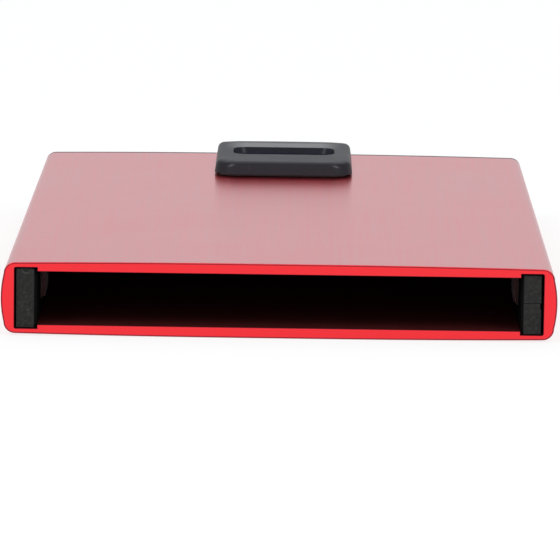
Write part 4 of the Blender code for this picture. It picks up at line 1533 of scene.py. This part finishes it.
@dataclass
class ViewCamera:
    """The camera at the photograph's place, aimed at the mouth."""

    mouth: float
    image_size: int = 560
    focal_pixels: float = 5421.6
    sensor: float = 36.0
    clip_start: float = 0.01
    distance: float = 612.76 * MM
    elevation: float = math.radians(8.405)
    azimuth: float = math.radians(0.17)
    roll: float = math.radians(0.772)
    target_x: float = 0.0795 * MM
    target_z: float = 6.720 * MM

    def build(self) -> None:
        """Adds the camera."""
        data = bpy.data.cameras.new("photo_camera")
        data.sensor_width = self.sensor
        data.lens = self.focal_pixels / self.image_size * self.sensor
        data.clip_start = self.clip_start
        camera = bpy.data.objects.new("photo_camera", data)
        place = Matrix.Translation((self.target_x, self.mouth, self.target_z))
        for angle, axis in ((self.azimuth, "Z"), (QUARTER_TURN - self.elevation, "X"), (self.roll, "Z")):
            place = place @ Matrix.Rotation(angle, 4, axis)
        camera.matrix_world = place @ Matrix.Translation((0, 0, self.distance))
        bpy.context.scene.collection.objects.link(camera)
        bpy.context.scene.camera = camera


@dataclass(frozen=True)
class Softbox:
    """One large soft lamp, aimed at the holder."""

    name: str
    place: Place
    size: Span
    power: float

    def build(self) -> None:
        """Adds the lamp."""
        data = bpy.data.lights.new(self.name, "AREA")
        data.shape = "RECTANGLE"
        data.size, data.size_y = self.size
        data.energy = self.power
        lamp = bpy.data.objects.new(self.name, data)
        lamp.location = self.place
        lamp.rotation_euler = Vector(self.place).to_track_quat("Z", "Y").to_euler()
        bpy.context.scene.collection.objects.link(lamp)


@dataclass
class Studio:
    """Pale floor, soft lamps and a white surround."""

    floor_size: float = 6.0
    floor_gap: float = 0.03 * MM
    floor_colour: Colour = (0.90, 0.90, 0.90)
    floor_roughness: float = 0.9
    floor_glow: float = 0.80
    surround_colour: Colour = (0.98, 1.0, 1.03)
    surround_level: float = 0.82
    surround_back: float = -0.18
    surround_side: float = -0.15
    surround_top: float = -0.45
    horizon_level: float = 0.20
    horizon_height: float = 0.16
    horizon_spread: float = 0.12
    lamps: tuple[Softbox, ...] = (
        Softbox("overhead_softbox", (0.0, 0.55, 1.08), (1.1, 1.6), 5.2),
        Softbox("left_softbox", (-0.80, -0.72, 1.08), (0.5, 0.9), 6.2),
        Softbox("right_softbox", (0.80, -0.72, 1.08), (0.5, 0.9), 6.2),
    )

    def build(self) -> None:
        """Sets the stage."""
        bpy.context.scene.view_settings.view_transform = "Standard"
        self._floor()
        self._world()
        for lamp in self.lamps:
            lamp.build()

    def _floor(self) -> None:
        """A plain white floor that keeps a soft shadow."""
        Workpiece.clear()
        bpy.ops.mesh.primitive_plane_add(size=self.floor_size, location=(0, 0, -self.floor_gap))
        floor = bpy.context.view_layer.objects.active
        floor.name = "floor"
        material, nodes, shader = blank_material("floor_white")
        colour, roughness = (*self.floor_colour, 1.0), self.floor_roughness
        nodes.feed(shader, {"Base Color": colour, "Roughness": roughness, "Specular IOR Level": 0.0})
        glow = nodes.add("Emission", {"Color": WHITE, "Strength": 1.0})
        path = nodes.add("LightPath").outputs
        seen = nodes.math("MAXIMUM", path["Is Camera Ray"], path["Is Glossy Ray"])
        share = nodes.product(seen, self.floor_glow)
        mix = nodes.add("MixShader", {0: share, 1: shader.outputs[0], 2: glow.outputs[0]})
        nodes.feed(nodes.tree.nodes["Material Output"], {"Surface": mix.outputs[0]})
        floor.data.materials.append(material)

    def _world(self) -> None:
        """White for the camera, and for the rest a surround, dimmer above and bright at the rear horizon."""
        world = bpy.data.worlds.new("studio")
        world.use_nodes = True
        bpy.context.scene.world = world
        nodes = Nodes(world.node_tree)
        nodes.tree.nodes.clear()
        x, y, z = nodes.add("SeparateXYZ", {0: nodes.add("TexCoord").outputs["Generated"]}).outputs
        height = nodes.math("DIVIDE", nodes.math("SUBTRACT", z, self.horizon_height), self.horizon_spread)
        fade = nodes.math("EXPONENT", nodes.product(height, height, -1.0))
        behind = nodes.product(nodes.math("MAXIMUM", y, 0.0), self.horizon_level)
        level = nodes.total(
            nodes.product(y, self.surround_back),
            self.surround_level,
            nodes.product(x, x, self.surround_side),
            nodes.product(z, z, self.surround_top),
            nodes.product(fade, behind),
        )
        light = nodes.add("Background", {"Color": (*self.surround_colour, 1.0), "Strength": level})
        white = nodes.add("Background", {"Color": WHITE, "Strength": 1.0})
        seen = nodes.add("LightPath").outputs["Is Camera Ray"]
        mix = nodes.add("MixShader", {0: seen, 1: light.outputs[0], 2: white.outputs[0]})
        nodes.add("OutputWorld", {"Surface": mix.outputs[0]})


def main() -> None:
    """Builds the holder's looks and the studio around it."""
    logging.basicConfig(level=logging.INFO, format="%(name)s: %(message)s")
    shell = CaseShell()
    shell.build()
    EndCap().build()
    for side in Side:
        for piece in (GuideRail, GripShoe, CapScrew):
            piece(side).build()
    ThumbSlide().build()
    CardLifter().build()
    Mechanism().build()
    Studio().build()
    ViewCamera(shell.mouth).build()


if __name__ == "__main__":
    main()
